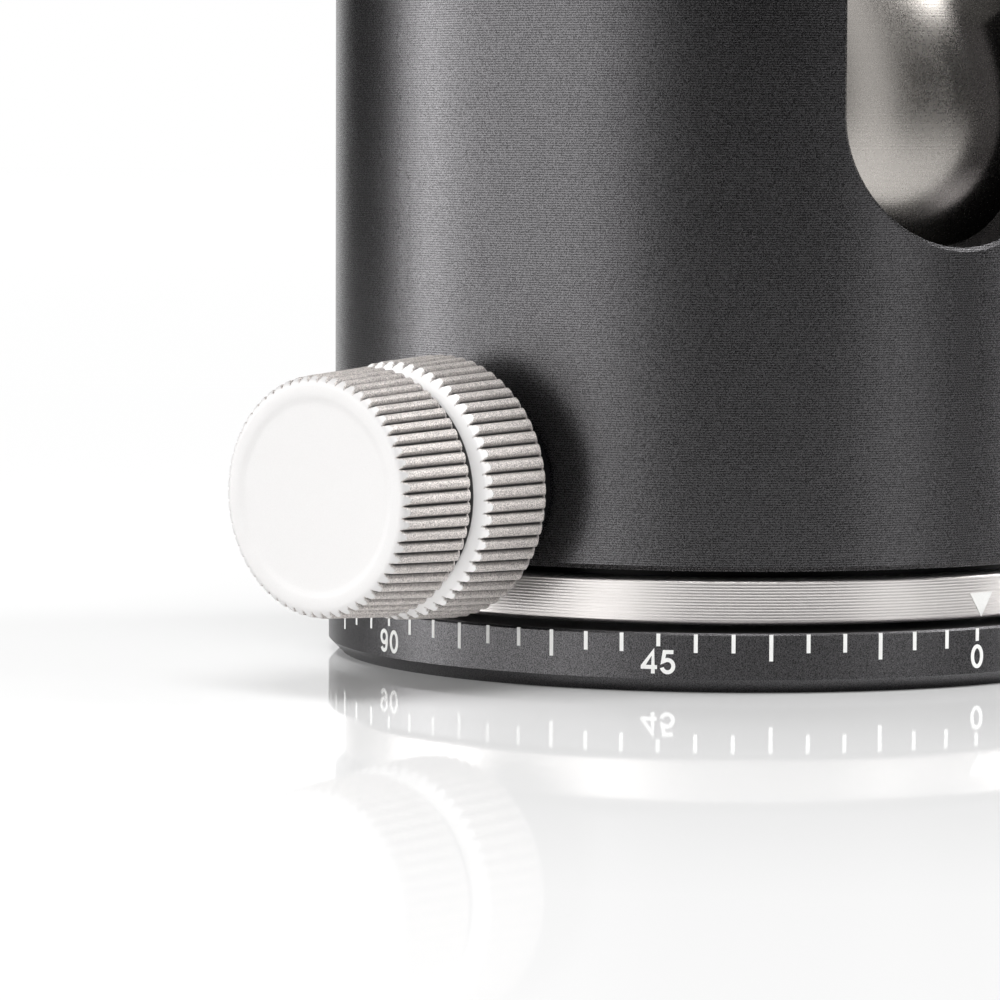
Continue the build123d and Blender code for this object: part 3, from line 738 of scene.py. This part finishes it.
def flute_tree():
    """Cuts V flutes along a turned blank, in the bands where its crest attribute is set.

    The mesh comes out with two attributes: groove, the mask of painted shade, grows from 0 on the
    lands to 1 on a flute's floor, and worn is 1 wherever the knurling tool has been.
    """
    names = ["Flutes", "Depth", "Half Width", "Crown", "Unevenness"]
    tree, graph, given = geometry_tree("knob_flutes", names)
    place = graph.node("GeometryNodeInputPosition")
    parts = graph.node("ShaderNodeSeparateXYZ", inputs={0: place})
    across, along = parts.out("X"), parts.out("Y")
    radius = (across * across + along * along).math("SQRT")
    turn = across.math("ARCTAN2", along) / (2 * math.pi)
    share = (turn * given + 0.25) % 1.0 - 0.5
    from_floor = share.math("ABSOLUTE") * (2 * math.pi) * radius / given
    band = graph.node(
        "GeometryNodeInputNamedAttribute", {"data_type": "FLOAT"}, {"Name": "crest"}
    )
    inside = band > 0.0
    rough = graph.node(
        "ShaderNodeTexNoise",
        {"noise_dimensions": "4D"},
        {"Vector": place, "W": 7.0, "Scale": 1200.0, "Detail": 2.0},
    )
    uneven = (rough - 0.5) * given.out("Unevenness")
    depth = given.out("Depth")
    from_middle = 0.5 - share.math("ABSOLUTE")
    land = band - (from_middle * 2.0).math("POWER", 1.5) * given.out("Crown") + uneven * 0.4
    wall = band - depth + uneven + from_floor * depth / given.out("Half Width")
    cut = land.math("SMOOTH_MIN", wall, depth * 0.12)
    reached = inside * graph.math("MINIMUM", radius, cut) + (1.0 - inside) * radius
    stretch = reached / graph.math("MAXIMUM", radius, 0.000001)
    moved = graph.node(
        "ShaderNodeCombineXYZ",
        inputs={"X": across * stretch, "Y": along * stretch, "Z": parts.out("Z")},
    )
    # Mask of painted shade, deepest on a flute's floor.
    below = graph.math("MINIMUM", radius, band) - reached - given.out("Crown")
    groove = inside * graph.math("MAXIMUM", below, 0.0) / (depth - given.out("Crown"))
    over = graph.math("MAXIMUM", cut - radius - 0.000012, 0.0) / 0.00003
    worn = inside * (1.0 - graph.math("MINIMUM", over, 1.0))
    shape = given.out("Blank")
    for name, value in (("groove", graph.math("MINIMUM", groove, 1.0)), ("worn", worn)):
        shape = graph.node(
            "GeometryNodeStoreNamedAttribute",
            {"data_type": "FLOAT", "domain": "POINT"},
            {"Geometry": shape, "Name": name, "Value": value},
        )
    shaped = graph.node("GeometryNodeSetPosition", inputs={"Geometry": shape, "Position": moved})
    end_tree(graph, shaped, given)
    return tree


def thread_tree():
    """A V ridge wound about Z from the origin up, its crest one depth above the radius."""
    tree, graph, given = geometry_tree("screw_thread", ["Turns", "Length", "Radius", "Depth"])
    helix = graph.node(
        "GeometryNodeCurveSpiral",
        inputs={
            "Resolution": 48,
            "Rotations": given,
            "Start Radius": given.out("Radius"),
            "End Radius": given.out("Radius"),
            "Height": given.out("Length"),
        },
    )
    upright = graph.node("GeometryNodeSetCurveNormal", {"mode": "Z_UP"}, {"Curve": helix})
    profile = graph.node(
        "GeometryNodeCurvePrimitiveCircle", inputs={"Resolution": 4, "Radius": given.out("Depth")}
    )
    ridge = graph.node(
        "GeometryNodeCurveToMesh",
        inputs={"Curve": upright, "Profile Curve": profile, "Fill Caps": True},
    )
    end_tree(graph, ridge, given)
    return tree


# ------------------------------------------------------------------ operators
class BALLHEAD_OT_finish_metal(bpy.types.Operator):
    """Gives every solid of the frame its finish"""

    bl_idname = "ballhead.finish_metal"
    bl_label = "Finish Metal"

    def execute(self, context):
        chosen = context.scene.ballhead_finish
        black, silver = tuple(chosen.anodised_black), tuple(chosen.blasted_silver)
        worn, bright = tuple(chosen.worn_silver), tuple(chosen.turned_silver)
        ball = tuple(chosen.ball_silver)
        finishes = {
            "housing_black": black_anodised("housing_black", black, 0.27, 0.17, 0.013 * MM, 5.0),
            "base_black": black_anodised("base_black", black, 0.33, 0.0, 0.011 * MM, 3.0),
            "clamp_black": black_anodised("clamp_black", black, 0.34, 0.0, 0.011 * MM, 3.5),
            "knob_silver": knurled_alloy("knob_silver", silver, worn, 0.55),
            "ring_silver": bright_alloy(
                "ring_silver", bright, 0.36, 0.1 * MM, 0.002 * MM, 0.06 * MM, 0.003 * MM
            ),
            "ball_silver": bright_alloy(
                "ball_silver", ball, 0.27, 0.15 * MM, 0.002 * MM, 0.12 * MM, 0.005 * MM
            ),
            "bearing_alloy": bright_alloy("bearing_alloy", bright, 0.35, 0.2 * MM, 0.002 * MM),
            "steel": machined_steel("machined_steel", (0.56, 0.56, 0.57), 0.32),
            "bolt_black": machined_steel("black_oxide", (0.05, 0.05, 0.055), 0.38),
            "brass_part": machined_steel("machined_brass", (0.78, 0.60, 0.30), 0.32),
            "bearing_plastic": smooth_plastic("bearing_plastic", (0.82, 0.82, 0.79), 0.35),
            "race_plastic": smooth_plastic("race_plastic", (0.05, 0.05, 0.05), 0.35),
            "cup_plastic": smooth_plastic("cup_plastic", (0.70, 0.69, 0.64), 0.35),
            "rubber_black": matt_rubber("rubber_black", (0.03, 0.03, 0.03)),
            "vial_clear": vial_liquid("vial_liquid", (0.55, 0.80, 0.10)),
        }
        finishes["dial_black"] = finishes["clamp_black"]
        for part in frame["record"]["subparts"]:
            node = frame["nodes"][part["node"]]
            node.data.materials.clear()
            node.data.materials.append(finishes[part["material_slot"]])
        return {"FINISHED"}


class BALLHEAD_OT_turn_ring(bpy.types.Operator):
    """Turns the index ring with its fine grooves, in place of the plain solid"""

    bl_idname = "ballhead.turn_ring"
    bl_label = "Turn Index Ring"

    def execute(self, context):
        chosen = context.scene.ballhead_scale
        node = frame["nodes"]["index_ring"]
        spread = [(math.hypot(v.co.x, v.co.y), v.co.z) for v in node.data.vertices]
        outer, inner = max(spread)[0], min(spread)[0]
        shoulder = max(radius for radius, height in spread if height > RING_HIGH.z - 0.01 * MM)
        top = max(height for radius, height in spread if radius > outer - 0.02 * MM)
        low, bevel = RING_LOW.z, 0.25 * MM
        outline = [(inner, low), (outer - bevel, low), (outer, low + bevel)]
        count = int((top - low - bevel) / chosen.groove_pitch)
        pitch = (top - low - bevel) / count
        for groove in range(count):
            start = low + bevel + groove * pitch
            outline += [
                (outer, start + 0.25 * pitch),
                (outer - chosen.groove_depth, start + 0.55 * pitch),
                (outer, start + 0.85 * pitch),
            ]
        outline += [
            (outer, top),
            (outer - bevel, top + bevel),
            (shoulder + bevel, top + bevel),
            (shoulder, top + bevel),
            (shoulder, RING_HIGH.z),
            (inner, RING_HIGH.z),
        ]
        mesh = turned("turned_index_ring", outline, round_about(360))
        smooth(mesh, 50.0)
        # Painted shade: the shoulder, tucked into the shadow gap under the housing, and the bore
        # are marked to be painted near black.
        recess = mesh.attributes.new("recess", "FLOAT", "POINT")
        for vertex in mesh.vertices:
            hidden = math.hypot(vertex.co.x, vertex.co.y) < shoulder + 0.01 * MM
            recess.data[vertex.index].value = 1.0 if hidden else 0.0
        material = node.data.materials[0]
        piece = settle("turned_index_ring", mesh, material, "housing")
        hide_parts("index_ring")
        return {"FINISHED"}


class BALLHEAD_OT_flute_knobs(bpy.types.Operator):
    """Turns the three knobs with round rims and cuts their flutes, in place of the plain solids"""

    bl_idname = "ballhead.flute_knobs"
    bl_label = "Flute Knobs"

    def execute(self, context):
        tree = flute_tree()
        for node, body, flutes, dish, bore in (
            ("pan_knob", "pan_knob_body", 60, 6.65 * MM, 0.0),
            ("lock_knob", "lock_knob_body", 72, 7.15 * MM, 7.15 * MM),
            ("clamp_knob", "clamp_knob_body", 56, 6.3 * MM, 0.0),
        ):
            self.knob(context, tree, node, body, flutes, dish, bore)
        return {"FINISHED"}

    def knob(self, context, tree, node, body, flutes, dish, bore):
        chosen = context.scene.ballhead_knob
        foot = axis_of(body)
        radius, rear, front = turned_size(node, foot)
        outline, crests, gap = self.outline(chosen, radius, rear, front, dish, bore)
        side = chosen.flute_half_width * flutes / (2 * math.pi * radius)
        shares = (0.0, 0.5 * side, side, 1.4 * side, 0.5, 1 - 1.4 * side, 1 - side, 1 - 0.5 * side)
        bearings = [
            2 * math.pi * (flute + 0.25 + share) / flutes
            for flute in range(flutes)
            for share in shares
        ]
        blank = turned(node + "_blank", outline, bearings, closed=bore > 0)
        self.mark_crests(blank, crests)
        material = frame["nodes"][node].data.materials[0]
        sizes = {
            "Flutes": float(flutes),
            "Depth": chosen.flute_depth,
            "Half Width": chosen.flute_half_width,
            "Crown": chosen.land_crown,
            "Unevenness": chosen.unevenness,
        }
        mesh = grow("fluted_" + node, tree, sizes, material, blank)
        self.mark_bead(mesh, crests[0][1][1] - 0.1 * MM, gap, bore)
        mesh.transform(foot)
        smooth(mesh, 32.0)
        piece = settle("fluted_" + node, mesh, material, body)
        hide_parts(node)

    def mark_crests(self, blank, crests):
        """Stores the radius of a fluted step's crest on its points and just round them."""
        crest = blank.attributes.new("crest", "FLOAT", "POINT")
        behind, ahead, inward = 0.5 * MM, 1.4 * MM, 1.2 * MM
        for vertex in blank.vertices:
            out = math.hypot(vertex.co.x, vertex.co.y)
            for low, high in crests:
                if low[1] - behind < vertex.co.z < high[1] + ahead and out > high[0] - inward:
                    share = (vertex.co.z - low[1]) / (high[1] - low[1])
                    crest.data[vertex.index].value = low[0] + share * (high[0] - low[0])

    def mark_bead(self, mesh, teeth, gap, bore):
        """Paints shade into the gap between the steps, and paints light onto the cut bead behind
        it.
        """
        gap_start, gap_end, gap_radius = gap
        groove = mesh.attributes["groove"].data
        cut = mesh.attributes.new("cut", "FLOAT", "POINT").data
        for vertex in mesh.vertices:
            out = math.hypot(vertex.co.x, vertex.co.y)
            if gap_start < vertex.co.z < gap_end and bore < out < gap_radius:
                # Painted shade in the gap between the steps.
                groove[vertex.index].value = 0.75
            if teeth < vertex.co.z < gap_start:
                # Painted light on the cut bead.
                cut[vertex.index].value = 1.0

    def outline(self, chosen, radius, rear, front, dish, bore):
        """The knob's turned outline, the crests of its fluted steps and the gap between them."""
        fine, mid, coarse = 0.06 * MM, 0.12 * MM, 0.35 * MM
        cone_rear = rear + chosen.rear_share * (front - rear)
        waist = cone_rear + 1.15 * MM
        waist_radius = radius - 2.0 * MM
        front_step = radius - chosen.step
        rim = front_step - chosen.taper
        rear_bevel = 0.35 * MM
        crest_start = (radius, rear + rear_bevel)
        crest_end = (radius - 0.8 * chosen.taper, cone_rear - chosen.tooth_length)
        tooth_end = (radius - 0.62 * MM, cone_rear + 0.1 * MM)
        bead_end = (radius - 1.30 * MM, cone_rear + 0.50 * MM)
        gap_start = cone_rear + 0.56 * MM
        gap_end = waist + 0.42 * MM
        step_edge = (front_step, waist + 0.65 * MM)
        rim_start = (rim, front - chosen.rim_radius)
        path = [  # corners, each with the pitch of the points that follow it
            ((1.0 * MM, rear), 2 * MM),
            ((radius - rear_bevel, rear), fine),
            (crest_start, coarse),
            (crest_end, fine),
            (tooth_end, mid),
            (bead_end, fine),
            ((bead_end[0] - 0.15 * MM, gap_start), mid),
            ((waist_radius, gap_start + 0.1 * MM), coarse),
            ((waist_radius, waist + 0.3 * MM), mid),
            ((front_step - 0.3 * MM, gap_end), fine),
            (step_edge, coarse),
            (rim_start, fine),
        ]
        points = []
        for (start, pitch), (end, _) in zip(path, path[1:]):
            points += stepped(start, end, pitch)
        rim_centre = (rim - chosen.rim_radius, front - chosen.rim_radius)
        points += rounded(rim_centre, chosen.rim_radius, 0, 90, 14)
        if bore > 0:
            well = front - 3.3 * MM
            points += [
                (bore + 0.25 * MM, front),
                (bore + 0.05 * MM, front - 0.08 * MM),
                (bore, front - 0.25 * MM),
                (bore, well),
                (1.0 * MM, well),
            ]
        else:
            points += self.dish(dish + 0.45 * MM, front, chosen.dish_depth)
            points[0] = (0.0, rear)
        crests = [(crest_start, crest_end), (step_edge, rim_start)]
        return points, crests, (gap_start, gap_end, front_step - 0.05 * MM)

    def dish(self, edge, front, depth):
        """Points of the hollow in the front face, from its soft lip to the middle."""
        steps, lip_width, bowl_share = 30, 0.6 * MM, 0.65
        points = []
        for step in range(steps + 1):
            out = edge * (1 - step / steps)
            bowl = 1 - (out / edge) ** 2
            share = min(1.0, (edge - out) / lip_width)
            lip = share * share * (3 - 2 * share)
            points.append((out, front - depth * (bowl_share * bowl + (1 - bowl_share) * lip)))
        return points


class BALLHEAD_OT_cut_thread(bpy.types.Operator):
    """Winds the thread of the clamp screw, in place of the plain solid"""

    bl_idname = "ballhead.cut_thread"
    bl_label = "Cut Thread"

    def execute(self, context):
        chosen = context.scene.ballhead_knob
        foot = axis_of("clamp_knob_body")
        radius, tip, end = turned_size("clamp_screw", foot)
        root = radius - chosen.thread_depth
        lead = 0.3 * MM
        wound = chosen.thread_length - lead
        runout = tip + chosen.thread_length
        core = [
            (0.0, tip),
            (root - lead, tip),
            (root, tip + lead),
            (root, runout),
            (radius, runout + lead),
            (radius, end),
            (0.0, end),
        ]
        sizes = {
            "Turns": wound / chosen.thread_pitch,
            "Length": wound,
            "Radius": root,
            "Depth": chosen.thread_depth,
        }
        material = frame["nodes"]["clamp_screw"].data.materials[0]
        ridge = grow("thread_ridge", thread_tree(), sizes, material)
        ridge.transform(Matrix.Translation((0.0, 0.0, tip + lead)))
        build = bmesh.new()
        build.from_mesh(turned("thread_core", core, round_about(72), closed=False))
        build.from_mesh(ridge)
        mesh = mesh_of("threaded_clamp_screw", build)
        mesh.transform(foot)
        smooth(mesh)
        piece = settle("threaded_clamp_screw", mesh, material, "clamp_knob_body")
        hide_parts("clamp_screw")
        return {"FINISHED"}


class BALLHEAD_OT_fill_vial(bpy.types.Operator):
    """Draws the vial's ring and its bubble"""

    bl_idname = "ballhead.fill_vial"
    bl_label = "Fill Vial"

    def execute(self, context):
        black = printed_mark("vial_ring", (0.02, 0.02, 0.02))
        pale = vial_liquid("vial_bubble", (0.86, 0.95, 0.55))
        inner, outer, lift = 1.35 * MM, 1.5 * MM, 0.02 * MM
        ring = [(inner, -lift), (outer, -lift), (outer, lift), (inner, lift)]
        bubble_radius, bubble_rise, bubble_shift = 1.15 * MM, 0.06 * MM, 0.12 * MM
        bubble = [(0.0, -lift), (bubble_radius, -lift)]
        for step in range(1, 10):
            out = bubble_radius * (1 - step / 9)
            bubble.append((out, bubble_rise * (1 - (out / bubble_radius) ** 4)))
        centre = (VIAL_LOW + VIAL_HIGH) / 2
        for name, outline, material, closed, shift in (
            ("vial_ring", ring, black, True, 0.0),
            ("vial_bubble", bubble, pale, False, bubble_shift),
        ):
            mesh = turned(name, outline, round_about(48), closed)
            mesh.transform(Matrix.Translation((centre.x + shift, centre.y, VIAL_HIGH.z)))
            smooth(mesh)
            settle(name, mesh, material, "ball_and_clamp")
        return {"FINISHED"}


class BALLHEAD_OT_print_scale(bpy.types.Operator):
    """Prints the ticks and numbers on the scale disc and the pointer on the index ring"""

    bl_idname = "ballhead.print_scale"
    bl_label = "Print Scale"

    def execute(self, context):
        chosen = context.scene.ballhead_scale
        colour = tuple(context.scene.ballhead_finish.mark_white)
        white = printed_mark("mark_white", colour)
        base_radius = BASE_HIGH.x
        sizes = {
            "Count": float(chosen.tick_count),
            "Radius": base_radius,
            "Top": BASE_HIGH.z - 0.06 * MM,
            "Width": chosen.tick_width,
            "Depth": 2 * chosen.print_lift,
            "Plain": chosen.tick_height,
            "Long": chosen.long_tick_height,
            "Short": chosen.number_tick_height,
            "Bearing": chosen.zero_bearing,
        }
        ticks = grow("scale_ticks", tick_tree(), sizes, white)
        settle("scale_ticks", ticks, white, "base")
        for number in range(0, 360, 45):
            mesh = self.number_mesh(str(number), chosen)
            bearing = chosen.zero_bearing + math.radians(number)
            wrap(mesh, base_radius, bearing)
            settle(f"scale_number_{number}", mesh, white, "base")
        self.pointer(chosen, white)
        return {"FINISHED"}

    def number_mesh(self, text, chosen):
        """The number as a flat mesh of the right height, centred on X, standing on its foot."""
        build = bmesh.new()
        advance = DIGIT_WIDTH + DIGIT_GAP
        left = -(advance * len(text) - DIGIT_GAP) / 2
        for place, digit in enumerate(text):
            for stroke, loop in DIGITS[digit]:
                points = [(left + advance * place + across, up) for across, up in stroke]
                self.stroke(build, points, loop, chosen.number_height, chosen.number_foot)
        build.normal_update()
        bmesh.ops.solidify(build, geom=build.faces, thickness=2 * chosen.print_lift)
        sunk = min(vertex.co.z for vertex in build.verts) + chosen.print_lift
        for vertex in build.verts:
            vertex.co.z -= sunk
        return mesh_of("number_" + text, build)

    def stroke(self, build, points, loop, height, foot):
        """Adds one stroke of the pen, as a ribbon with mitred corners."""
        count = len(points)
        sides = []
        for step, point in enumerate(points):
            before = points[step - 1] if step or loop else None
            after = points[(step + 1) % count] if step < count - 1 or loop else None
            into = Vector(point) - Vector(before) if before else None
            out = Vector(after) - Vector(point) if after else into
            into = (into or out).normalized()
            out = out.normalized()
            across = Vector((-into.y - out.y, into.x + out.x)).normalized()
            reach = DIGIT_STROKE / 2 / max(0.5, across.dot(Vector((-out.y, out.x))))
            sides.append(
                [
                    build.verts.new(
                        (
                            (point[0] + across.x * way * reach) * height,
                            (point[1] + across.y * way * reach) * height + foot,
                            0.0,
                        )
                    )
                    for way in (1, -1)
                ]
            )
        for step in range(count if loop else count - 1):
            here, there = sides[step], sides[(step + 1) % count]
            build.faces.new((here[0], here[1], there[1], there[0]))

    def pointer(self, chosen, white):
        """A triangle whose tip points down at the scale, in rows that follow the ring."""
        rows, columns = 12, 8
        top = RING_LOW.z + 0.12 * MM + chosen.pointer_height
        build = bmesh.new()
        grid = []
        for row in range(rows + 1):
            half = chosen.pointer_width / 2 * (1 - row / rows)
            height = top - chosen.pointer_height * row / rows
            grid.append(
                [
                    build.verts.new((half * (2 * column / columns - 1), height, chosen.print_lift))
                    for column in range(columns + 1)
                ]
            )
        for upper, lower in zip(grid, grid[1:]):
            for column in range(columns):
                build.faces.new(
                    (lower[column], lower[column + 1], upper[column + 1], upper[column])
                )
        bmesh.ops.remove_doubles(build, verts=build.verts, dist=0.001 * MM)
        bmesh.ops.solidify(build, geom=build.faces, thickness=2 * chosen.print_lift)
        mesh = mesh_of("scale_pointer", build)
        wrap(mesh, RING_HIGH.x, chosen.pointer_bearing)
        settle("scale_pointer", mesh, white, "housing")


class BALLHEAD_OT_studio(bpy.types.Operator):
    """Sets the floor, the lights and the camera"""

    bl_idname = "ballhead.studio"
    bl_label = "Set Studio"

    def execute(self, context):
        chosen = context.scene.ballhead_studio
        self.room()
        self.floor()
        self.backdrop(chosen)
        self.camera(chosen)
        self.tent(chosen)
        left, right, high = chosen.left_level, chosen.right_level, chosen.high_level
        for name, bearing, reach, height, size, radiance in (
            ("left_key", -97, 0.45, 0.18, (0.14, 0.36), 2.35 * left),
            ("left_panel", -62, 0.45, 0.18, (0.44, 0.36), left),
            ("left_edge", -30, 0.45, 0.18, (0.10, 0.36), 0.42 * left),
            ("right_strip", 45, 0.55, 0.30, (0.16, 0.60), 0.12 * right),
            ("right_key", 100, 0.55, 0.30, (0.16, 0.60), 0.75 * right),
            ("high_right", 92, 0.55, 0.55, (0.30, 0.40), high),
            ("high_front", 0, 0.30, 0.55, (0.40, 0.30), high),
            ("far_wash", 180, 1.9, 1.5, (3.0, 1.6), chosen.wash_level),
        ):
            self.softbox(name, chosen.view_bearing, bearing, reach, height, size, radiance)
        context.scene.view_settings.view_transform = "Standard"
        return {"FINISHED"}

    def room(self):
        """White beyond the tent, to the camera and in metal and glass, and no light of its own."""
        world = bpy.data.worlds.new("studio_room")
        world.use_nodes = True
        graph = Graph(world.node_tree)
        rays = graph.node("ShaderNodeLightPath", output="Is Camera Ray")
        seen = rays + rays.out("Is Glossy Ray") + rays.out("Is Transmission Ray")
        light = graph.node(
            "ShaderNodeBackground", inputs={"Color": WHITE, "Strength": seen.math("MINIMUM", 1.0)}
        )
        graph.node("ShaderNodeOutputWorld", inputs={"Surface": light})
        bpy.context.scene.world = world

    def stage_piece(self, name, corners, faces, material):
        mesh = bpy.data.meshes.new(name)
        mesh.from_pydata(corners, [], faces)
        mesh.materials.append(material)
        piece = bpy.data.objects.new(name, mesh)
        bpy.context.scene.collection.objects.link(piece)
        return piece

    def stage_sheet(self, name, height, material):
        """A level square sheet over the whole stage."""
        half = STAGE_HALF
        corners = [
            (-half, -half, height),
            (half, -half, height),
            (half, half, height),
            (-half, half, height),
        ]
        return self.stage_piece(name, corners, [(0, 1, 2, 3)], material)

    def floor(self):
        """A polished white floor that keeps the object's shadow and mirrors it at a low angle."""
        finish = Finish("floor_white")
        paths = finish.node("ShaderNodeLightPath", output="Is Camera Ray")
        reach = finish.node(
            "ShaderNodeVectorMath", {"operation": "LENGTH"}, {0: finish.place()}, output="Value"
        )
        under, open_floor, rest = FLOOR_GLOW
        near, clear, off, away = FLOOR_REACH
        first = ((reach - near) / (clear - near)).clipped()
        second = ((reach - off) / (away - off)).clipped()
        glowing = paths * (first * (open_floor - under) + second * (rest - open_floor) + under)
        acrylic = finish.principled(Base_Color=rgba((0.86, 0.86, 0.86)), Roughness=0.04, IOR=1.45)
        shader = finish.node(
            "ShaderNodeMixShader", inputs={0: glowing, 1: acrylic, 2: finish.glow()}
        )
        self.stage_sheet("floor", 0.0, finish.ended(shader))

    def round_wall(self, name, view, start, end, reach, height, material):
        """A wall on an arc about the head, between two bearings in degrees from the camera."""
        corners, faces, steps = [], [], 48
        for step in range(steps + 1):
            angle = view + math.radians(start + (end - start) * step / steps)
            across, along = reach * math.sin(angle), -reach * math.cos(angle)
            corners += [(across, along, 0.0), (across, along, height)]
        for step in range(steps):
            low = 2 * step
            faces.append((low, low + 1, low + 3, low + 2))
        return self.stage_piece(name, corners, faces, material)

    def backdrop(self, chosen):
        """A lit white wall on the far side, which the floor and the metal mirror."""
        finish = Finish("backdrop_white")
        lit = finish.ended(finish.glow())
        view = chosen.view_bearing
        self.round_wall("backdrop", view, *BACKDROP_ARC, BACKDROP_REACH, TENT_HEIGHT, lit)

    def tent(self, chosen):
        """Dark cloth round and over the rest, so that the black finish keeps its depth."""
        finish = Finish("tent_cloth")
        weave = finish.noise(finish.place(), 0.05)
        cloth = finish.surface(Base_Color=finish.mix_colour(weave, CLOTH, CLOTH), Roughness=1.0)
        side = BACKDROP_ARC[0]
        view = chosen.view_bearing
        wall = self.round_wall("tent_wall", view, -side, side, TENT_REACH, TENT_HEIGHT, cloth)
        roof = self.stage_sheet("tent_roof", TENT_HEIGHT, cloth)
        for piece in (wall, roof):
            piece.visible_camera = False

    def camera(self, chosen):
        bearing, height, roll = chosen.view_bearing, chosen.view_height, chosen.view_roll
        back = Vector(
            (
                math.sin(bearing) * math.cos(height),
                -math.cos(bearing) * math.cos(height),
                math.sin(height),
            )
        )
        right = Vector((math.cos(bearing), math.sin(bearing), 0.0))
        up = back.cross(right)
        turned_right = right * math.cos(roll) + up * math.sin(roll)
        turned_up = up * math.cos(roll) - right * math.sin(roll)
        place = (
            back * chosen.view_distance
            - turned_right * chosen.view_right
            - turned_up * chosen.view_up
        )
        lens = bpy.data.cameras.new("camera")
        lens.lens = chosen.lens
        lens.sensor_width = 36.0
        lens.clip_start = 0.01
        camera = bpy.data.objects.new("camera", lens)
        axes = Matrix((turned_right, turned_up, back)).transposed().to_4x4()
        camera.matrix_world = Matrix.Translation(place) @ axes
        bpy.context.scene.collection.objects.link(camera)
        bpy.context.scene.camera = camera

    def softbox(self, name, view, bearing, reach, height, size, radiance):
        """A rectangular lamp, bearing degrees right of the camera, aimed at the head.

        A lamp more than a metre away shines straight down at the floor instead.
        """
        aim = Vector((0, 0, 30 * MM))
        angle = view + math.radians(bearing)
        place = Vector((reach * math.sin(angle), -reach * math.cos(angle), height))
        outward = place - aim if height > size[1] / 2 else Vector((place.x, place.y, 0.0))
        lamp = bpy.data.lights.new(name, "AREA")
        if reach > 1.0:
            outward = Vector((0.0, 0.0, 1.0))
            lamp.spread = math.radians(80)
        lamp.shape = "RECTANGLE"
        lamp.size, lamp.size_y = size
        lamp.energy = radiance * math.pi * size[0] * size[1]
        holder = bpy.data.objects.new(name, lamp)
        turn = outward.normalized().to_track_quat("Z", "Y").to_matrix().to_4x4()
        holder.matrix_world = Matrix.Translation(place) @ turn
        holder.visible_camera = False
        bpy.context.scene.collection.objects.link(holder)


class BALLHEAD_PT_panel(bpy.types.Panel):
    bl_label = "Ball Head"
    bl_idname = "BALLHEAD_PT_panel"
    bl_space_type = "VIEW_3D"
    bl_region_type = "UI"
    bl_category = "Ball Head"

    def draw(self, context):
        layout = self.layout
        for operator in OPERATORS:
            layout.operator(operator.bl_idname)
        for name, settings in SETTINGS.items():
            box = layout.box()
            group = getattr(context.scene, name)
            for field in settings.__annotations__:
                box.prop(group, field)


OPERATORS = (
    BALLHEAD_OT_finish_metal,
    BALLHEAD_OT_turn_ring,
    BALLHEAD_OT_flute_knobs,
    BALLHEAD_OT_cut_thread,
    BALLHEAD_OT_fill_vial,
    BALLHEAD_OT_print_scale,
    BALLHEAD_OT_studio,
)


def register():
    for kind in (*SETTINGS.values(), *OPERATORS, BALLHEAD_PT_panel):
        bpy.utils.register_class(kind)
    for name, settings in SETTINGS.items():
        setattr(bpy.types.Scene, name, PointerProperty(type=settings))


def unregister():
    for name in SETTINGS:
        delattr(bpy.types.Scene, name)
    for kind in reversed((*SETTINGS.values(), *OPERATORS, BALLHEAD_PT_panel)):
        bpy.utils.unregister_class(kind)


def main():
    register()
    bpy.ops.ballhead.finish_metal()
    bpy.ops.ballhead.turn_ring()
    bpy.ops.ballhead.flute_knobs()
    bpy.ops.ballhead.cut_thread()
    bpy.ops.ballhead.fill_vial()
    bpy.ops.ballhead.print_scale()
    bpy.ops.ballhead.studio()


if __name__ == "__main__":
    main()
